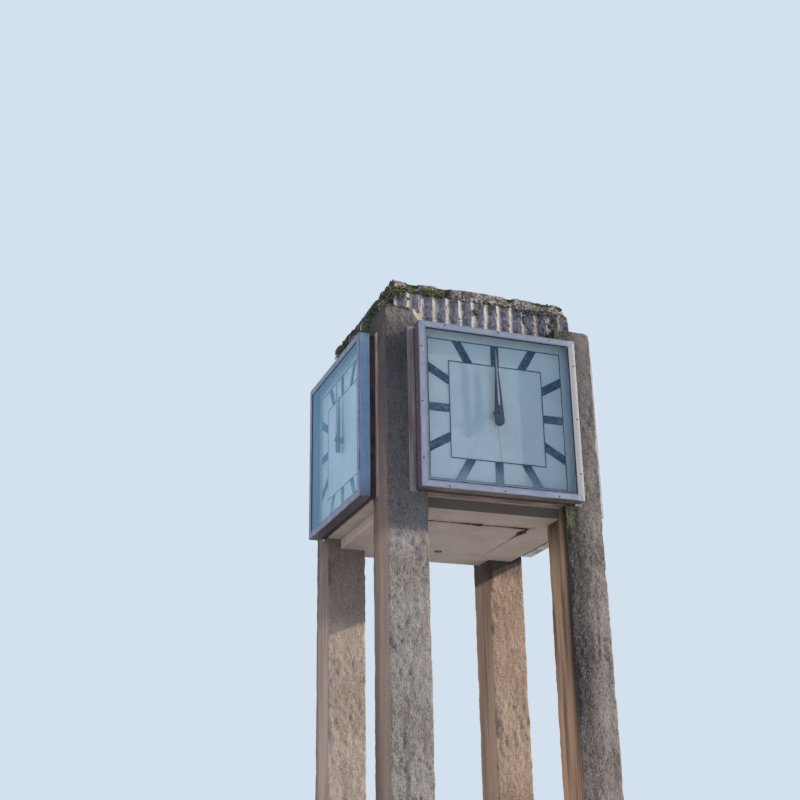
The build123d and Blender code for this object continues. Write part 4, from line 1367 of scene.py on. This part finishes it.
def rust_scale():
    """A flat ragged ribbon under the hatch's front joint, with a short arm down its right side.

    Its width is a narrow trace that swells to two bursts, each a bell curve, and noise frays it.
    """
    soffit = HATCH_LOW.z
    along = np.linspace(-hatch_joint, hatch_joint, FRONT_STEPS)
    burst = np.exp(-((along + 0.01) / 0.11) ** 2) + 0.7 * np.exp(-((along - 0.42) / 0.06) ** 2)
    line = np.stack([along, np.full(FRONT_STEPS, -hatch_joint), np.zeros(FRONT_STEPS)], -1)
    wander = noise(line, 0.04, 210)
    width = np.clip(0.005 + 0.030 * burst * (1 + 0.6 * wander) + 0.005 * wander, 0.0015, None)
    arm = np.linspace(-hatch_joint, ARM_END, ARM_STEPS)
    arm_line = np.stack([np.full(ARM_STEPS, hatch_joint), arm, np.zeros(ARM_STEPS)], -1)
    arm_burst = np.exp(-((arm + hatch_joint - 0.12) / 0.11) ** 2)
    arm_width = np.clip(0.030 * arm_burst * (1 + 0.6 * noise(arm_line, 0.04, 211)), 0.0012, None)

    def ribbon(middle, side_way, half):
        """Five rows of points: an edge, a low ridge, the other edge, and both edges again in the soffit."""
        drop = SCALE_LIFT + 0.35 * half
        left, right = middle + side_way * half[:, None], middle - side_way * half[:, None]
        low = middle + side_way * (0.3 * half * noise(middle, 0.02, 212))[:, None]
        rows = np.stack([left, low, right, right, left])
        rows[..., 2] = soffit
        rows[1, :, 2] = soffit - drop
        rows[3:, :, 2] = soffit + SCALE_LIFT
        return rows

    shapes = [ribbon(line, np.array([0.0, -1.0, 0.0]), width),
              ribbon(arm_line, np.array([1.0, 0.0, 0.0]), arm_width)]
    points, faces, shift = [], [], 0
    for rows in shapes:
        count, n = rows.shape[:2]
        flat = rows.transpose(1, 0, 2).reshape(-1, 3)
        points.append(flat)
        ends = np.array([np.arange(count)[::-1], (n - 1) * count + np.arange(count)])
        faces += [grid_quads(n, count, wrap=True) + shift, ends + shift]
        shift += len(flat)
    rust = rusty_paint("burst_rust", "2e1815", "5f3226", "8a6048", 0.5)
    return piece("rust_scale", np.concatenate(points), faces, rust, smooth=False)


rust_scale()

# %% [markdown]
# ## Stage, light and camera
#
# The studio is plain: a pale floor, a pale backdrop colour, one key light at the angle at
# which the low sun grazes the front, and soft light from all round. The key comes from the
# right, 11 degrees in front of the wall's plane and 23 degrees up, so it rakes across the
# rough concrete. The world shows its pale colour to the camera and in reflections, and
# lights the tower more weakly.

# %% Stage
FLOOR_HALF = 40.0


def pale_floor():
    """Matt studio floor."""
    material, tree, place, at, facing = blank("pale_floor")
    shader = add(tree, "BsdfPrincipled", {"Base Color": srgb("bebfbe"), "Roughness": 0.9})
    add(tree, "OutputMaterial", None, {0: shader.outputs[0]})
    return material


floor_mesh = bpy.data.meshes.new("studio_floor")
floor_mesh.from_pydata(
    [(-FLOOR_HALF, -FLOOR_HALF, 0), (FLOOR_HALF, -FLOOR_HALF, 0), (FLOOR_HALF, FLOOR_HALF, 0),
     (-FLOOR_HALF, FLOOR_HALF, 0)], [], [(0, 1, 2, 3)])
floor_mesh.materials.append(pale_floor())
floor = bpy.data.objects.new("studio_floor", floor_mesh)
bpy.context.scene.collection.objects.link(floor)

world = bpy.data.worlds.new("studio")
bpy.context.scene.world = world
world.use_nodes = True
air = world.node_tree
air.nodes.clear()
path = add(air, "LightPath")
seen = add(air, "Math", None, {0: path.outputs["Is Camera Ray"], 1: path.outputs["Is Glossy Ray"]},
           operation="MAXIMUM")
seen = add(air, "Math", None, {0: seen.outputs[0], 1: path.outputs["Is Transmission Ray"]},
           operation="MAXIMUM")
fill = add(air, "Background", {"Color": srgb("b9cdf4"), "Strength": 0.57})
backdrop = add(air, "Background", {"Color": srgb("d3e1ee"), "Strength": 1.0})
sky = add(air, "MixShader", None, {0: seen.outputs[0], 1: fill.outputs[0], 2: backdrop.outputs[0]})
add(air, "OutputWorld", None, {0: sky.outputs[0]})

# %% Lights


def distant_light(name, towards, strength, spread, colour):
    """A sun lamp. towards is the direction from the tower to the light, and spread its width in degrees."""
    lamp = bpy.data.lights.new(name, "SUN")
    lamp.energy = strength
    lamp.angle = math.radians(spread)
    lamp.color = srgb(colour)[:3]
    made = bpy.data.objects.new(name, lamp)
    bpy.context.scene.collection.objects.link(made)
    back = np.array(towards, float)
    rise = math.asin(back[2] / np.linalg.norm(back))
    made.rotation_euler = (math.pi / 2 - rise, 0.0, math.atan2(back[0], -back[1]))
    return made


KEY_FROM_WALL = math.radians(11.3)
KEY_RISE = math.radians(22.7)
key_direction = (
    math.cos(KEY_RISE) * math.cos(KEY_FROM_WALL),
    -math.cos(KEY_RISE) * math.sin(KEY_FROM_WALL),
    math.sin(KEY_RISE),
)
distant_light("key_light", key_direction, strength=4.1, spread=1.0, colour="fff1dd")
distant_light("left_fill", (-1.0, 0.10, 0.10), strength=0.85, spread=50.0, colour="ffe9d6")

# %% [markdown]
# The camera stands where the photographer stood: 1.6 m above the ground, about ten metres
# in front and four to the left, looking up. Its numbers come from fitting the tower's own
# straight edges, with a focal length of 1251 pixels for a frame of 800.

# %% Camera
EYE = (-4.2085, -9.9268, 1.6005)
HEADING, LIFT, ROLL = 0.3592, 0.3725, -0.0169
FOCAL_PIXELS, FRAME_PIXELS, SENSOR_MM = 1250.75, 800, 36.0

camera_data = bpy.data.cameras.new("camera")
camera_data.sensor_width = SENSOR_MM
camera_data.lens = FOCAL_PIXELS / FRAME_PIXELS * SENSOR_MM
camera = bpy.data.objects.new("camera", camera_data)
bpy.context.scene.collection.objects.link(camera)
camera.location = EYE
camera.rotation_mode = "XYZ"
aim = Matrix.Rotation(-HEADING, 4, "Z") @ Matrix.Rotation(math.pi / 2 + LIFT, 4, "X")
camera.rotation_euler = (aim @ Matrix.Rotation(ROLL, 4, "Z")).to_euler()
bpy.context.scene.camera = camera
bpy.context.scene.view_settings.view_transform = "Standard"
